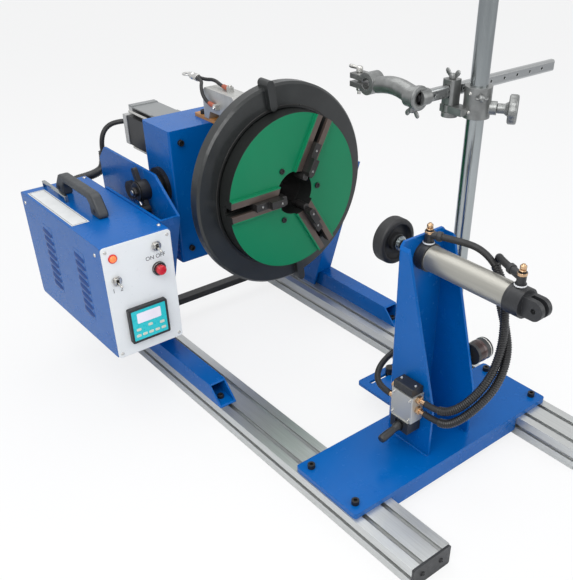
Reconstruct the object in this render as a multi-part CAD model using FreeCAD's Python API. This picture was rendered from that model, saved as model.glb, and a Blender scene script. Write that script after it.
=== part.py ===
"""Bench welding positioner: tilting headstock with a scroll chuck, air tailstock and torch stand.

The frame is in millimetres. X runs along the rails from the headstock (-X) to the tailstock
(+X), Y runs across them and Z is up. The origin lies on the standing plane, under the
spindle axis, halfway along the rails.
"""
import FreeCAD, Part
import os
from math import cos, degrees, pi, radians, sin, sqrt, tan

Vector = FreeCAD.Vector
AXIS_X = Vector(1, 0, 0)
AXIS_Y = Vector(0, 1, 0)
AXIS_Z = Vector(0, 0, 1)

# ---------------------------------------------------------------- clearances
RUNNING = 0.05        # radial play of a shaft in its bearing
GAP = 0.3             # air between faces of bodies that move past each other
SCROLL_PLAY = 0.7     # play of a jaw tooth in the scroll groove, each side
PAST = 1.0            # how far a cut runs past the face that it opens

# ---------------------------------------------------------------- rails
rail_length = 1000.0
rail_width = 80.0
rail_height = 40.0
rail_spacing = 405.0      # centre to centre
slot_pitch = 40.0
slot_mouth = 8.2
slot_lip = 4.5
slot_inner = 17.0
slot_depth = 12.3
cap_thickness = 4.0
cap_corner = 4.0

rail_top = rail_height
rail_outer = (rail_spacing + rail_width) / 2
rail_inner = (rail_spacing - rail_width) / 2
slot_line = (rail_spacing + slot_pitch) / 2     # the outer T-slot of each rail

# ---------------------------------------------------------------- headstock frame
beam_size = 35.0
beam_wall = 3.0
beam_start = -480.0
beam_end = 0.0
plate_stand_off = 7.5     # from the beam to the support plate
plate_thickness = 5.0
pocket_depth = 31.0
pocket_wall = 5.0
support_back = -450.0
support_rise = 36.0       # crown of the support above the spindle axis
support_back_chamfer = 27.0
support_crown_end = -229.0
support_front_top_x = -157.0
support_front_drop = 20.0
support_foot_x = -250.0
pocket_back = -365.0
pocket_drop = 18.0        # rim of the pocket below the spindle axis
tie_x = -390.0
tie_width = 24.0
tie_height = 14.0
tie_edge = 2.0

beam_outer_y = rail_outer
beam_inner_y = rail_outer - beam_size
beam_top = rail_top + beam_size
plate_outer_y = beam_inner_y - plate_stand_off
plate_inner_y = plate_outer_y - plate_thickness
pocket_outer_y = plate_outer_y + pocket_depth + pocket_wall

# ---------------------------------------------------------------- tilting head
spindle_height = 376.0
tilt_x = -262.0
head_depth = 94.0
head_behind = 49.0        # rear face of the housing behind the tilt axis
head_side_gap = 27.0      # air between the housing and a support plate
head_drop = 144.0
head_rise = 109.0
head_wall = 6.0
head_corner = 4.0
rear_bearing = 10.0       # length of the rear bearing ring inside the wall
bearing_radius = 68.0
bearing_length = 46.0
trunnion_radius = 14.0
trunnion_flange_radius = 34.0
trunnion_flange = 8.0
trunnion_shoulder = 6.0
trunnion_tail = 8.0       # shaft outside the support plate
guide_radius = 58.0       # arc slot of the tilt guide pin
guide_angle = 197.0       # rest position of the guide pin, from +X towards +Z
guide_pin_radius = 7.0
guide_disc_radius = 17.0
guide_disc = 9.0
lock_hub_wall = 5.0
lock_hub = 20.0
lock_arm = (42.0, 34.0)   # reach of the lock lever each side of its hub
lock_arm_width = 12.0
lock_arm_thickness = 8.0
lock_arm_corner = 5.5
lock_knob_radius = 9.0
lock_angle = 64.0
tilt_range = 90.0
motor_size = 86.0
motor_length = 102.0
motor_notch = 15.0
motor_cap = 14.0
motor_waist = 3.0         # the laminated body is this much narrower than its ends
motor_y = -112.0
cable_diameter = 10.0
brush_plate_width = 48.0
brush_plate_length = 70.0
brush_plate_thickness = 6.0
brush_plate_x = -272.0
brush_plate_y = -55.0
brush_block_x = -235.0
brush_block_y = -62.5
brush_block_length = 102.0
brush_block_width = 35.0
brush_block_height = 54.0
brush_nose_rise = 14.0
brush_heel = 4.0
brush_slope = 6.0
brush_bevel = 8.0
brush_plate_corner = 3.0
carbon_size = 12.0
terminal = 9.0
upper_terminal_x = -176.0
lower_terminal_x = -190.0
lower_terminal_rise = 35.0
lug_end_x = -264.0
lug_end_y = -69.0
lug_rise = 67.0           # above the top of the head
lug_sheet = 3.0
lug_neck = 10.0
lug_barrel_radius = 6.5
lug_barrel_length = 24.0
lug_eye_radius = 10.0

head_x0 = tilt_x - head_behind
head_x1 = head_x0 + head_depth
head_half_width = plate_inner_y - head_side_gap
head_bottom = spindle_height - head_drop
head_top = spindle_height + head_rise
motor_z = head_top - motor_size / 2
brush_seat = head_top + brush_plate_thickness
brush_nose_x = brush_block_x + brush_block_length
brush_heel_x = head_x1 - brush_heel

# ---------------------------------------------------------------- chuck
face_x = -76.0            # painted face of the chuck body
body_radius = 143.0
body_thickness = 30.0
bore_radius = 40.0
seat_step = 4.0           # how far the tube of the spindle stops short of the plate
spindle_tail = 7.0
hub_radius = 52.0
spindle_radius = 46.0
flange_radius = 96.0
flange_thickness = 12.0
land_width = 42.0
land_height = 6.0
jaw_slot = 14.0
jaw_slot_web = 12.0
jaw_slot_rim = 6.0
guide_groove = 20.0
guide_groove_height = 6.0
jaw_angles = (61.0, 181.0, 301.0)
jaw_inner = 36.0
jaw_length = 60.0
jaw_proud = 20.0
scroll_pitch = 14.0
scroll_ridge = 6.0
scroll_height = 5.4
scroll_start = 61.0
scroll_turns = 5.5
jaw_reach_in = 12.0       # how far the jaws can close from the modelled place
ring_radius = 188.0
ring_rim = 22.0
ring_bevel = 4.0
handle_radius = 200.0
handle_width = 15.0
handle_height = 10.0
handle_angle = 99.0

body_back = face_x - body_thickness
scroll_face = body_back - GAP - scroll_height
ring_back = body_back - ring_rim
scroll_cavity = body_radius + 2.0

# ---------------------------------------------------------------- tailstock
tail_x = 298.0
tail_length = 150.0
tail_overhang = 2.5       # plate edge inside the outer rail faces
tail_thickness = 10.0
tail_corner = 6.0
clamp_inset = 20.0
clamp_hole = 4.5
clamp_shank = 3.9
clamp_head_radius = 6.5
clamp_head = 8.0
clamp_socket = 6.0
clamp_nut = 16.0
keel_width = 40.0
keel_height = 30.0
keel_wall = 3.0
keel_play = 1.0
keel_inset = 3.0
tower_back = 247.0
tower_half_width = 52.0
tower_sheet = 5.0
tower_rise = 34.0         # crown of the tower above the spindle axis
tower_neck = 21.0
tower_lip = 5.0
tower_crown = 12.0
tower_foot = 100.0
tower_knee = 146.0
tower_bend = 6.0
cylinder_radius = 20.5
cylinder_cap_radius = 23.0
cylinder_wall = 1.5
front_cap_length = 18.0
barrel_length = 156.0
rear_cap_length = 28.0
rear_port_back = 12.0     # rear port behind the barrel
clevis_length = 34.0
clevis_width = 24.0
clevis_height = 30.0
clevis_slot = 8.0
clevis_hole = 4.0
clevis_web = 6.0
rod_radius = 8.0
nose_radius = 14.0
nose_length = 18.0
nose_nut_across = 44.0
nose_nut = 10.0
piston_length = 16.0
piston_rest = 6.0         # piston behind the front cap when the rod is out
rod_collar = 4.0
pad_radius = 38.0
pad_thickness = 24.0
pad_step = 4.0
pad_bevel = 3.0
pad_rim = 9.0
pad_boss = 6.0
pad_recess = 9.0
pad_face = 172.0
stroke = 100.0
port_rise = 22.0
port_sink = 1.0
port_body_radius = 7.0
port_seal_radius = 8.7
port_seal = 4.0
port_arm_radius = 6.3
port_plug = 8.0
needle_radius = 2.5
needle_knob_radius = 5.0
needle_knob = 12.0

tail_top = rail_top + tail_thickness
tower_top = spindle_height + tower_rise
tower_front = tower_back + tower_foot
cap_x = tower_back + tower_sheet
barrel_x = cap_x + front_cap_length
rear_x = barrel_x + barrel_length
clevis_x = rear_x + rear_cap_length

# ---------------------------------------------------------------- control box
ctrl_x0 = -455.0
ctrl_x1 = -127.0
ctrl_width = 131.0
ctrl_bottom = 140.0
ctrl_top = 355.0
ctrl_wall = 2.0
ctrl_corner = 6.0
panel_thickness = 2.0
handle_x = -324.0
handle_length = 180.0
handle_rise = 40.0
handle_foot = 34.0
handle_depth = 20.0
handle_bar = 13.0
handle_toe = 8.0
handle_throat = 10.0
handle_edge = 3.0
strap_x0 = -447.0
strap_x1 = -345.0
strap_gap = 9.0
strap_width = 6.0
strap_rise = 12.0
strap_sheet = 3.0
louvre_columns = (-355.0, -222.0)
louvre_count = 8
louvre_pitch = 15.5
louvre_top = 305.0
louvre_length = 30.0
louvre_gap = 5.0
louvre_slant = 25.0
display_width = 76.0
display_height = 68.0
display_depth = 9.0
display_z = 198.0
display_rim = 4.0
display_corner = 3.0
display_recess = 2.0
display_glass = 1.2
panel_left = 19.0         # lamp and mode switch from the outer edge of the panel
panel_right = 31.0        # power switch and stop button from its inner edge
upper_row = 333.0
mode_row = 292.0
stop_row = 290.0
lamp_radius = 8.0
lamp_rim = 2.0
lamp_proud = 5.0
lamp_depth = 12.0
bush_radius = 6.0
bush_wall = 1.2
bush_proud = 7.0
switch_body = 16.0
switch_depth = 22.0
switch_nut = 15.0
switch_nut_height = 3.0
toggle_half = 2.4
toggle_height = 4.4
toggle_length = 21.0
toggle_tip = 2.1
toggle_pin = 1.0
toggle_throw = 13.0
stop_radius = 9.0
stop_stem = 6.0
stop_collar = 2.0
stop_bezel_width = 3.5
stop_proud = 5.0
stop_cap = 6.0
stop_depth = 18.0
stop_travel = 3.0

ctrl_y1 = -pocket_outer_y
ctrl_y0 = ctrl_y1 - ctrl_width
panel_x = ctrl_x1 + panel_thickness
lamp_spot = (ctrl_y0 + panel_left, upper_row)
mode_spot = (ctrl_y0 + panel_left, mode_row)
power_spot = (ctrl_y1 - panel_right, upper_row)
stop_spot = (ctrl_y1 - panel_right, stop_row)
handle_y = ctrl_y0 + 64.0
display_y = ctrl_y0 + 65.0
elbow_diameter = 18.0
elbow_behind = 24.0       # the elbow rises this far behind the support plate
elbow_z = 340.0
elbow_top = 386.0
elbow_run = 20.0
elbow_swing = 4.0
elbow_x = support_back - elbow_behind
elbow_y = ctrl_y1 - 25
elbow_end_y = -plate_inner_y + 14

# ---------------------------------------------------------------- hand valve
valve_x = 303.0
valve_width = 48.0
valve_depth = 28.0
valve_bottom = 120.0
valve_top = 172.0
valve_cap = 15.0
valve_foot = 24.0
valve_corner = 2.0
valve_cap_inset = 3.0
valve_foot_inset = 4.0
valve_foot_proud = 2.0
valve_pivot = 9.0         # lever pin behind the front of its housing
valve_pin = 2.0
valve_mouth = 16.0
valve_mouth_width = 18.0
valve_eye = 6.0
valve_grip = 5.5
valve_grip_start = 4.0
valve_lever_length = 52.0
valve_lever_droop = 14.0
fitting_across = 13.0
fitting_nut = 6.0
fitting_barb = 4.2
filter_x = 324.0
filter_z = 198.0
filter_radius = 19.0
filter_length = 36.0
filter_stand_off = 8.0
filter_bracket = 4.0
filter_port = 5.0
valve_y = -tower_half_width
valve_front = valve_y - valve_depth - valve_foot_proud
valve_lever_z = valve_bottom - valve_foot / 2

# ---------------------------------------------------------------- torch stand
stand_x = 152.0
stand_width = 96.0
stand_inner_y = 5.0
stand_thickness = 6.0
stand_corner = 8.0
stand_slot = 8.0
stand_slot_inset = 20.0
slot_knob_y = 74.0
slot_knob_radius = 9.0
slot_knob_height = 14.0
slot_washer = 6.0
column_x = 160.0
column_radius = 15.0
column_top = 760.0
column_flange_radius = 32.0
column_flange = 8.0
column_collar_radius = 21.0
column_collar = 34.0
sleeve_bottom = 530.0
sleeve_height = 50.0
sleeve_wall = 8.0
knob_angle = 35.0         # the height knob points this far from +X towards +Y
knob_z = 16.0             # above the foot of the sleeve
knob_boss = 10.0
knob_boss_radius = 11.0
knob_screw = 4.0
knob_collar_radius = 8.0
knob_collar = 18.0
knob_radius = 24.0
knob_thickness = 16.0
arm_z0 = 6.0              # underside of the sleeve's arm above the foot of the sleeve
arm_thickness = 12.0
arm_half = 12.0
arm_eye_radius = 13.0
bar_x = 125.0
bar_height = 20.0
bar_thickness = 12.0
bar_corner = 4.0
bar_start = 119.0
bar_end = 446.0
bar_z = 570.0
bar_hole = 2.5
bar_hole_start = 130.0
bar_hole_pitch = 35.0
bracket_offset = 26.5     # bracket in front of the column
bracket_disc = 14.0
bracket_post = 7.0
bracket_lid = 8.0
bracket_corner = 5.0
wing_stem = 3.0
wing_hub_radius = 6.0
wing_hub = 8.0
wing_half = 1.8
torch_bore = 9.0
torch_wall = 9.0
torch_width = 28.0
torch_rise = 2.0          # torch clamp above the bar's line
torch_split = 5.0
lip_reach = 40.0
lip_height = 22.0
socket_radius = 17.0
socket_rim = 2.0
socket_wall = 7.0
socket_length = 26.0
socket_front = 4.0        # socket mouth past the bar's line
hub_barrel = 13.0
neck_radius = 13.0
neck_start = 12.0
neck_lift = 7.0
spigot_radius = 6.0
spigot_length = 5.0
torch_reach = 110.0       # torch clamp ahead of the bar
bolt_reach = 31.0         # bolt of the lips ahead of the clamp
bolt_tail = 8.0
bolt_nut = 5.0
bolt_handle = 26.0

column_y = rail_spacing / 2
bracket_y = column_y - bracket_offset
sleeve_radius = column_radius + sleeve_wall
arm_top = sleeve_bottom + arm_z0 + arm_thickness
holder_y = bar_start - socket_radius - 3 * PAST
clamp_x = bar_x - torch_reach
bolt_x = clamp_x - bolt_reach
lip_z = bar_z + torch_rise
slot_x = stand_x - 28.0
screw_seat = bar_z - socket_radius


# ---------------------------------------------------------------- hoses and cable
cord_flats = 12
hose_diameter = 11.0
front_port_x = cap_x + front_cap_length / 2
rear_port_x = rear_x + rear_port_back
front_arm = (front_port_x + 16, 6, spindle_height + 37)
rear_arm = (rear_port_x - 26, 10, spindle_height + 35)
hose_front_route = [front_arm, (309, 18, 413), (338, 31, 408), (366, 36, 390),
                    (388, 36, 358), (402, 28, 318), (418, 10, 280), (424, -14, 240),
                    (414, -38, 204), (394, -56, 176), (371, -66, 166), (343, -66, 166)]
hose_rear_route = [rear_arm, (386, 20, 411), (364, 42, 403), (352, 58, 380), (354, 62, 350),
                   (370, 54, 322), (398, 38, 298), (426, 18, 268), (435, -10, 226),
                   (420, -42, 184), (396, -62, 153), (371, -66, 145), (343, -66, 145)]
hose_supply_route = [(263, -66, 142), (235, -66, 142), (208, -46, 148), (198, -14, 160),
                     (206, 26, 176), (232, 62, 192), (262, 74, 198), (292, 74, 198)]
motor_cable_route = [(-413, motor_y, 440), (-437, motor_y, 440), (-460, -132, 442),
                     (elbow_x, elbow_end_y + 19, 436), (elbow_x, elbow_end_y, 412),
                     (elbow_x, elbow_end_y, elbow_top)]
lead_diameter = 6.0
lug_z = head_top + lug_rise
upper_terminal_z = brush_seat + brush_block_height + terminal / 2
lower_terminal_z = head_top + lower_terminal_rise
lead_upper_route = [(-264, -66, lug_z), (-246, -66, lug_z), (-222, -61, lug_z + 4),
                    (-196, -62.5, upper_terminal_z), (-176, -62.5, upper_terminal_z)]
lead_lower_route = [(-264, -72.2, lug_z), (-246, -72.2, lug_z), (-232, -84, lug_z - 6),
                    (-222, -88, lug_z - 20), (-208, -84.5, lower_terminal_z),
                    (-190, -84.5, lower_terminal_z)]


def box(x0, x1, y0, y1, z0, z1):
    return Part.makeBox(x1 - x0, y1 - y0, z1 - z0, Vector(x0, y0, z0))


def rod_x(radius, x0, x1, y, z):
    return Part.makeCylinder(radius, x1 - x0, Vector(x0, y, z), AXIS_X)


def rod_y(radius, y0, y1, x, z):
    return Part.makeCylinder(radius, y1 - y0, Vector(x, y0, z), AXIS_Y)


def rod_z(radius, z0, z1, x, y):
    return Part.makeCylinder(radius, z1 - z0, Vector(x, y, z0), AXIS_Z)


def prism_y(points, y0, y1):
    """Extrude an outline of (x, z) points from y0 to y1."""
    corners = [Vector(x, y0, z) for x, z in points]
    face = Part.Face(Part.makePolygon(corners + corners[:1]))
    return face.extrude(Vector(0, y1 - y0, 0))


def prism_x(points, x0, x1):
    """Extrude an outline of (y, z) points from x0 to x1."""
    corners = [Vector(x0, y, z) for y, z in points]
    face = Part.Face(Part.makePolygon(corners + corners[:1]))
    return face.extrude(Vector(x1 - x0, 0, 0))


def fuse(first, *others):
    return first.fuse(list(others)).removeSplitter()


def mirror_y(shape):
    return shape.mirror(Vector(0, 0, 0), AXIS_Y)


def edges_along(shape, direction, test=None):
    """Straight edges parallel to a direction whose midpoint passes the test."""
    found = []
    for edge in shape.Edges:
        if len(edge.Vertexes) != 2 or edge.Curve.TypeId != "Part::GeomLine":
            continue
        run = edge.Vertexes[1].Point - edge.Vertexes[0].Point
        middle = (edge.Vertexes[1].Point + edge.Vertexes[0].Point) / 2
        if run.cross(direction).Length < 1e-6 * run.Length and (test is None or test(middle)):
            found.append(edge)
    return found


def rounded(shape, radius, direction, test=None):
    return shape.makeFillet(radius, edges_along(shape, direction, test))


def about_spindle(shape, angle):
    """Turn a shape drawn along +Y about the spindle axis; positive takes +Y towards +Z."""
    return shape.rotate(Vector(0, 0, spindle_height), AXIS_X, angle)


# ---------------------------------------------------------------- rails and headstock frame
def tslot(y, z, turn):
    """Outline of one T-slot whose mouth is at (y, z); turn 0 opens upwards."""
    half = slot_mouth / 2
    inner = slot_inner / 2
    shoulder = (slot_depth + slot_lip) / 2
    run = [(-half, 1.0), (-half, -slot_lip), (-inner, -slot_lip), (-inner, -shoulder),
           (-half, -slot_depth)]
    outline = run + [(-u, v) for u, v in reversed(run)]
    c, s = cos(radians(turn)), sin(radians(turn))
    return [(y + c * u - s * v, z + s * u + c * v) for u, v in outline]


def rail(centre_y):
    half = rail_length / 2
    low = centre_y - rail_width / 2
    high = centre_y + rail_width / 2
    body = prism_x([(low, 0), (high, 0), (high, rail_height), (low, rail_height)], -half, half)
    cuts = []
    for side in (-1, 1):
        y = centre_y + side * slot_pitch / 2
        cuts.append(prism_x(tslot(y, rail_height, 0), -half, half))
        cuts.append(prism_x(tslot(y, 0, 180), -half, half))
        edge = centre_y + side * rail_width / 2
        cuts.append(prism_x(tslot(edge, rail_height / 2, -90 * side), -half, half))
    return body.cut(cuts)


def end_cap(centre_y, side):
    x0 = side * rail_length / 2
    x1 = x0 + side * cap_thickness
    cap = box(min(x0, x1), max(x0, x1), centre_y - rail_width / 2, centre_y + rail_width / 2,
              0, rail_height)
    return rounded(cap, cap_corner, AXIS_X)


def base_beam():
    """Hollow section along the outer edge of the near rail, cut at 45 degrees in front."""
    y0, y1 = -beam_outer_y, -beam_inner_y
    z0, z1 = rail_top, beam_top
    wall = beam_wall
    outer = prism_y([(beam_start, z0), (beam_end, z0), (beam_end - beam_size, z1),
                     (beam_start, z1)], y0, y1)
    inner = box(beam_start - 1, beam_end + 1, y0 + wall, y1 - wall, z0 + wall, z1 - wall)
    return outer.cut(inner)


def front_edge_x(z):
    """Front edge of the support at a height: it leans forward from the foot."""
    rise = spindle_height - support_front_drop - beam_top
    lean = (support_front_top_x - support_foot_x) / rise
    return support_foot_x + (z - beam_top) * lean


def guide_slot():
    """Arc slot of the tilt guide pin, through the inner plate of the near support."""
    half = guide_pin_radius + GAP
    start = radians(guide_angle)
    stop = radians(guide_angle + tilt_range)
    y0, y1 = -plate_outer_y - 1, -plate_inner_y + 1

    def spot(radius, angle):
        return Vector(tilt_x + radius * cos(angle), y0, spindle_height + radius * sin(angle))

    middle = (start + stop) / 2
    outer, inner = guide_radius + half, guide_radius - half
    end = spot(guide_radius, stop) + half * Vector(-sin(stop), 0, cos(stop))
    begin = spot(guide_radius, start) - half * Vector(-sin(start), 0, cos(start))
    wire = Part.Wire([
        Part.Arc(spot(outer, start), spot(outer, middle), spot(outer, stop)).toShape(),
        Part.Arc(spot(outer, stop), end, spot(inner, stop)).toShape(),
        Part.Arc(spot(inner, stop), spot(inner, middle), spot(inner, start)).toShape(),
        Part.Arc(spot(inner, start), begin, spot(outer, start)).toShape()])
    return Part.Face(wire).extrude(Vector(0, y1 - y0, 0))


def support():
    """Near support: a leaning inner plate with a lower outer wall that forms a pocket."""
    front_low = front_edge_x(rail_top)
    front_top = spindle_height - support_front_drop
    crown = spindle_height + support_rise
    rim = spindle_height - pocket_drop
    inner = prism_y([(support_back, rail_top), (front_low, rail_top),
                     (support_front_top_x, front_top), (support_crown_end, crown),
                     (support_back + support_back_chamfer, crown),
                     (support_back, crown - support_back_chamfer)],
                    -plate_outer_y, -plate_inner_y)
    outer = prism_y([(pocket_back, beam_top), (support_foot_x, beam_top),
                     (front_edge_x(rim), rim), (pocket_back, rim)],
                    -pocket_outer_y, -pocket_outer_y + pocket_wall)
    wall = pocket_wall
    front = prism_y([(support_foot_x - wall, beam_top), (support_foot_x, beam_top),
                     (front_edge_x(rim), rim), (front_edge_x(rim) - wall, rim)],
                    -pocket_outer_y + pocket_wall, -plate_outer_y)
    shell = fuse(inner, outer, front)
    bearing = rod_y(trunnion_radius + RUNNING, -plate_outer_y - PAST, -plate_inner_y + PAST,
                    tilt_x, spindle_height)
    return shell.cut([bearing, guide_slot()])


def tie_bar():
    bar = box(tie_x - tie_width / 2, tie_x + tie_width / 2, -plate_inner_y, plate_inner_y,
              rail_top, rail_top + tie_height)
    return rounded(bar, tie_edge, AXIS_Y)


# ---------------------------------------------------------------- tilting head
def head_housing():
    shell = box(head_x0, head_x1, -head_half_width, head_half_width, head_bottom, head_top)
    shell = rounded(shell, head_corner, AXIS_Z)
    hollow = box(head_x0 + head_wall, head_x1 - head_wall, -head_half_width + head_wall,
                 head_half_width - head_wall, head_bottom + head_wall, head_top - head_wall)
    front = rod_x(bearing_radius, head_x1 - head_wall, head_x1 + bearing_length, 0, spindle_height)
    rear = rod_x(bearing_radius, head_x0, head_x0 + head_wall + rear_bearing, 0, spindle_height)
    bore = rod_x(spindle_radius + RUNNING, head_x0 - PAST, head_x1 + bearing_length + PAST, 0,
                 spindle_height)
    return fuse(shell.cut(hollow), front, rear).cut(bore)


def trunnion():
    """Near trunnion: a flange on the head side and a shaft through the support plate."""
    flange = rod_y(trunnion_flange_radius, -head_half_width - trunnion_flange, -head_half_width,
                   tilt_x, spindle_height)
    spacer = rod_y(trunnion_radius + trunnion_shoulder, -plate_inner_y + GAP, -head_half_width,
                   tilt_x, spindle_height)
    shaft = rod_y(trunnion_radius, -plate_outer_y - trunnion_tail, -head_half_width, tilt_x,
                  spindle_height)
    return fuse(flange, spacer, shaft)


def guide_pin():
    """Pin through the arc slot, with the dark clamp disc inside the pocket."""
    angle = radians(guide_angle)
    x = tilt_x + guide_radius * cos(angle)
    z = spindle_height + guide_radius * sin(angle)
    pin = rod_y(guide_pin_radius, -plate_outer_y - GAP, -head_half_width, x, z)
    disc = rod_y(guide_disc_radius, -plate_outer_y - GAP - guide_disc, -plate_outer_y - GAP, x, z)
    return fuse(pin, disc)


def tilt_lock_lever():
    """Two-ended lever on the trunnion end: ring at the top, knob at the bottom."""
    y0 = -plate_outer_y - lock_hub
    y1 = -plate_outer_y - GAP
    back, front = lock_arm
    half = lock_arm_width / 2
    arm_y = y0 + (lock_hub - lock_arm_thickness) / 3
    hub = rod_y(trunnion_radius + lock_hub_wall, y0, y1, tilt_x, spindle_height)
    arm = box(tilt_x - back, tilt_x + front, arm_y, arm_y + lock_arm_thickness,
              spindle_height - half, spindle_height + half)
    arm = rounded(arm, lock_arm_corner, AXIS_Y)
    knob = rod_y(lock_knob_radius, y0 - half, y0 + lock_arm_width, tilt_x + front, spindle_height)
    socket = rod_y(trunnion_radius + RUNNING, -plate_outer_y - trunnion_tail - GAP, y1 + PAST,
                   tilt_x, spindle_height)
    lever = fuse(hub, arm, knob).cut(socket)
    return lever.rotate(Vector(tilt_x, 0, spindle_height), AXIS_Y, lock_angle)


def notched_square(size, notch, x0, x1):
    """Square block about the motor axis with a square notch cut from each corner."""
    half = size / 2
    wide = box(x0, x1, motor_y - half, motor_y + half, motor_z - half + notch,
               motor_z + half - notch)
    tall = box(x0, x1, motor_y - half + notch, motor_y + half - notch, motor_z - half,
               motor_z + half)
    return fuse(wide, tall)


def motor_body():
    return notched_square(motor_size - motor_waist, motor_notch - motor_waist / 2,
                          head_x0 - motor_length + motor_cap, head_x0 - motor_cap)


def motor_end(x0):
    return notched_square(motor_size, motor_notch, x0, x0 + motor_cap)


def motor():
    return Part.makeCompound([motor_end(head_x0 - motor_length), motor_body(),
                              motor_end(head_x0 - motor_cap)])


# ---------------------------------------------------------------- chuck
def spindle():
    flange_x = ring_back - GAP - flange_thickness
    tube = rod_x(spindle_radius, head_x0 - spindle_tail, body_back - seat_step, 0, spindle_height)
    flange = rod_x(flange_radius, flange_x, flange_x + flange_thickness, 0, spindle_height)
    bore = rod_x(bore_radius, head_x0 - spindle_tail - PAST, body_back, 0, spindle_height)
    return fuse(tube, flange).cut(bore)


def chuck_body():
    """Painted face plate with three raised lands, T-guided jaw slots and a rear hub."""
    axis_z = spindle_height
    disc = rod_x(body_radius, body_back, face_x, 0, axis_z)
    hub = rod_x(hub_radius, ring_back - GAP, body_back, 0, axis_z)
    body = disc.fuse(hub)
    envelope = rod_x(body_radius, face_x - 1, face_x + land_height, 0, axis_z)
    for angle in jaw_angles:
        land = box(face_x - 1, face_x + land_height, 0, body_radius + 5, axis_z - land_width / 2,
                   axis_z + land_width / 2)
        body = body.fuse(about_spindle(land, angle).common(envelope))
    bore = rod_x(bore_radius, body_back - 2 * body_thickness, face_x + land_height + 1, 0, axis_z)
    seat = rod_x(spindle_radius + RUNNING, ring_back - PAST, body_back - seat_step, 0, axis_z)
    cuts = [bore, seat]
    for angle in jaw_angles:
        half = jaw_slot / 2
        groove = guide_groove / 2
        rim = body_radius - jaw_slot_rim
        front = box(body_back + jaw_slot_web, face_x + land_height + 1, 0, body_radius + 5,
                    axis_z - half, axis_z + half)
        back = box(body_back - 1, body_back + jaw_slot_web + 1, 0, rim, axis_z - half,
                   axis_z + half)
        guide_x = body_back + jaw_slot_web + 2
        guide = box(guide_x, guide_x + guide_groove_height, 0, body_radius + 5,
                    axis_z - groove, axis_z + groove)
        cuts += [about_spindle(cut, angle) for cut in (front, back, guide)]
    return body.removeSplitter().cut(cuts)


def spiral_arcs(offset):
    """Quarter arcs of a four-centre spiral, as (centre, radius, start angle) from the inside."""
    side = scroll_pitch / 4
    half = side / 2
    corners = [(-half, half), (-half, -half), (half, -half), (half, half)]
    quarters = int(round(4 * scroll_turns))
    arcs = []
    for quarter in range(quarters):
        y, z = corners[quarter % 4]
        radius = scroll_start + side * quarter + offset
        arcs.append((Vector(scroll_face, y, spindle_height + z), radius, 90.0 * quarter))
    return arcs


def arc_point(centre, radius, angle):
    a = radians(angle)
    return centre + Vector(0, radius * cos(a), radius * sin(a))


def scroll_ridge_solid():
    """The spiral ridge on the scroll plate, one closed outline of quarter arcs."""
    edges = []
    ends = []
    for offset in (-scroll_ridge / 2, scroll_ridge / 2):
        arcs = spiral_arcs(offset)
        for centre, radius, start in arcs:
            edges.append(Part.Arc(arc_point(centre, radius, start),
                                  arc_point(centre, radius, start + 45),
                                  arc_point(centre, radius, start + 90)).toShape())
        first, last = arcs[0], arcs[-1]
        ends.append((arc_point(*first), arc_point(last[0], last[1], last[2] + 90)))
    edges.append(Part.makeLine(ends[0][0], ends[1][0]))
    edges.append(Part.makeLine(ends[0][1], ends[1][1]))
    wire = Part.Wire(Part.__sortEdges__(edges))
    return Part.Face(wire).extrude(Vector(scroll_height, 0, 0))


def scroll_ring():
    """Hand ring behind the face plate; its front carries the spiral that drives the jaws."""
    axis_z = spindle_height
    plate = rod_x(ring_radius, ring_back, body_back, 0, axis_z)
    rims = [edge for edge in plate.Edges if edge.Closed and edge.CenterOfMass.x > body_back - PAST]
    plate = plate.makeChamfer(ring_bevel, rims)
    cavity = rod_x(scroll_cavity, scroll_face, body_back + 1, 0, axis_z)
    bore = rod_x(hub_radius + RUNNING, ring_back - 1, body_back + 1, 0, axis_z)
    ring = plate.cut([cavity, bore]).fuse(scroll_ridge_solid())
    half = handle_width / 2
    for angle in (handle_angle, handle_angle + 180):
        inner = scroll_cavity + 2 + half
        outer = handle_radius - half
        bar = box(ring_back + ring_bevel, body_back + handle_height, inner, outer,
                  axis_z - half, axis_z + half)
        tips = [rod_x(half, ring_back + ring_bevel, body_back + handle_height, y, axis_z)
                for y in (inner, outer)]
        grip = fuse(bar, *tips)
        ring = ring.fuse(about_spindle(grip, angle))
    return ring.removeSplitter()


def spiral_radius(angle):
    """Radius of the first turn of the ridge, along its middle, on the ray at an angle."""
    return scroll_start - scroll_pitch / 8 + scroll_pitch * (angle % 360) / 360


def jaw(angle):
    """Stepped jaw: slab in the slot, side ribs in the T groove, teeth behind."""
    axis_z = spindle_height
    half = jaw_slot / 2 - GAP
    rib = guide_groove / 2 - GAP
    outer = jaw_inner + jaw_length
    front = face_x + land_height + jaw_proud
    low = body_back + GAP
    slab = box(low, front - jaw_proud / 2, jaw_inner, outer, axis_z - half, axis_z + half)
    step = box(low, front, jaw_inner, jaw_inner + jaw_length * 0.55, axis_z - half, axis_z + half)
    guide_x = body_back + jaw_slot_web + 2
    ribs = box(guide_x + GAP, guide_x + guide_groove_height - GAP, jaw_inner + 8, outer,
               axis_z - rib, axis_z + rib)
    body = fuse(slab, step, ribs)
    body = body.cut(nose_cuts(half))
    teeth = []
    thickness = scroll_pitch - scroll_ridge - 2 * SCROLL_PLAY
    first = spiral_radius(angle)
    radius = first + scroll_pitch / 2
    foot = box(scroll_face + GAP, low + 0.01, jaw_inner, outer, axis_z - half, axis_z + half)
    while radius + thickness / 2 < outer - GAP:
        if radius - thickness / 2 > hub_radius + GAP + jaw_reach_in:
            ring = rod_x(radius + thickness / 2, scroll_face + GAP, low + 0.01, 0, axis_z)
            hole = rod_x(radius - thickness / 2, scroll_face, low + 1, 0, axis_z)
            teeth.append(ring.cut(hole).common(foot))
        radius += scroll_pitch
    return about_spindle(body.fuse(teeth).removeSplitter(), angle)


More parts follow.
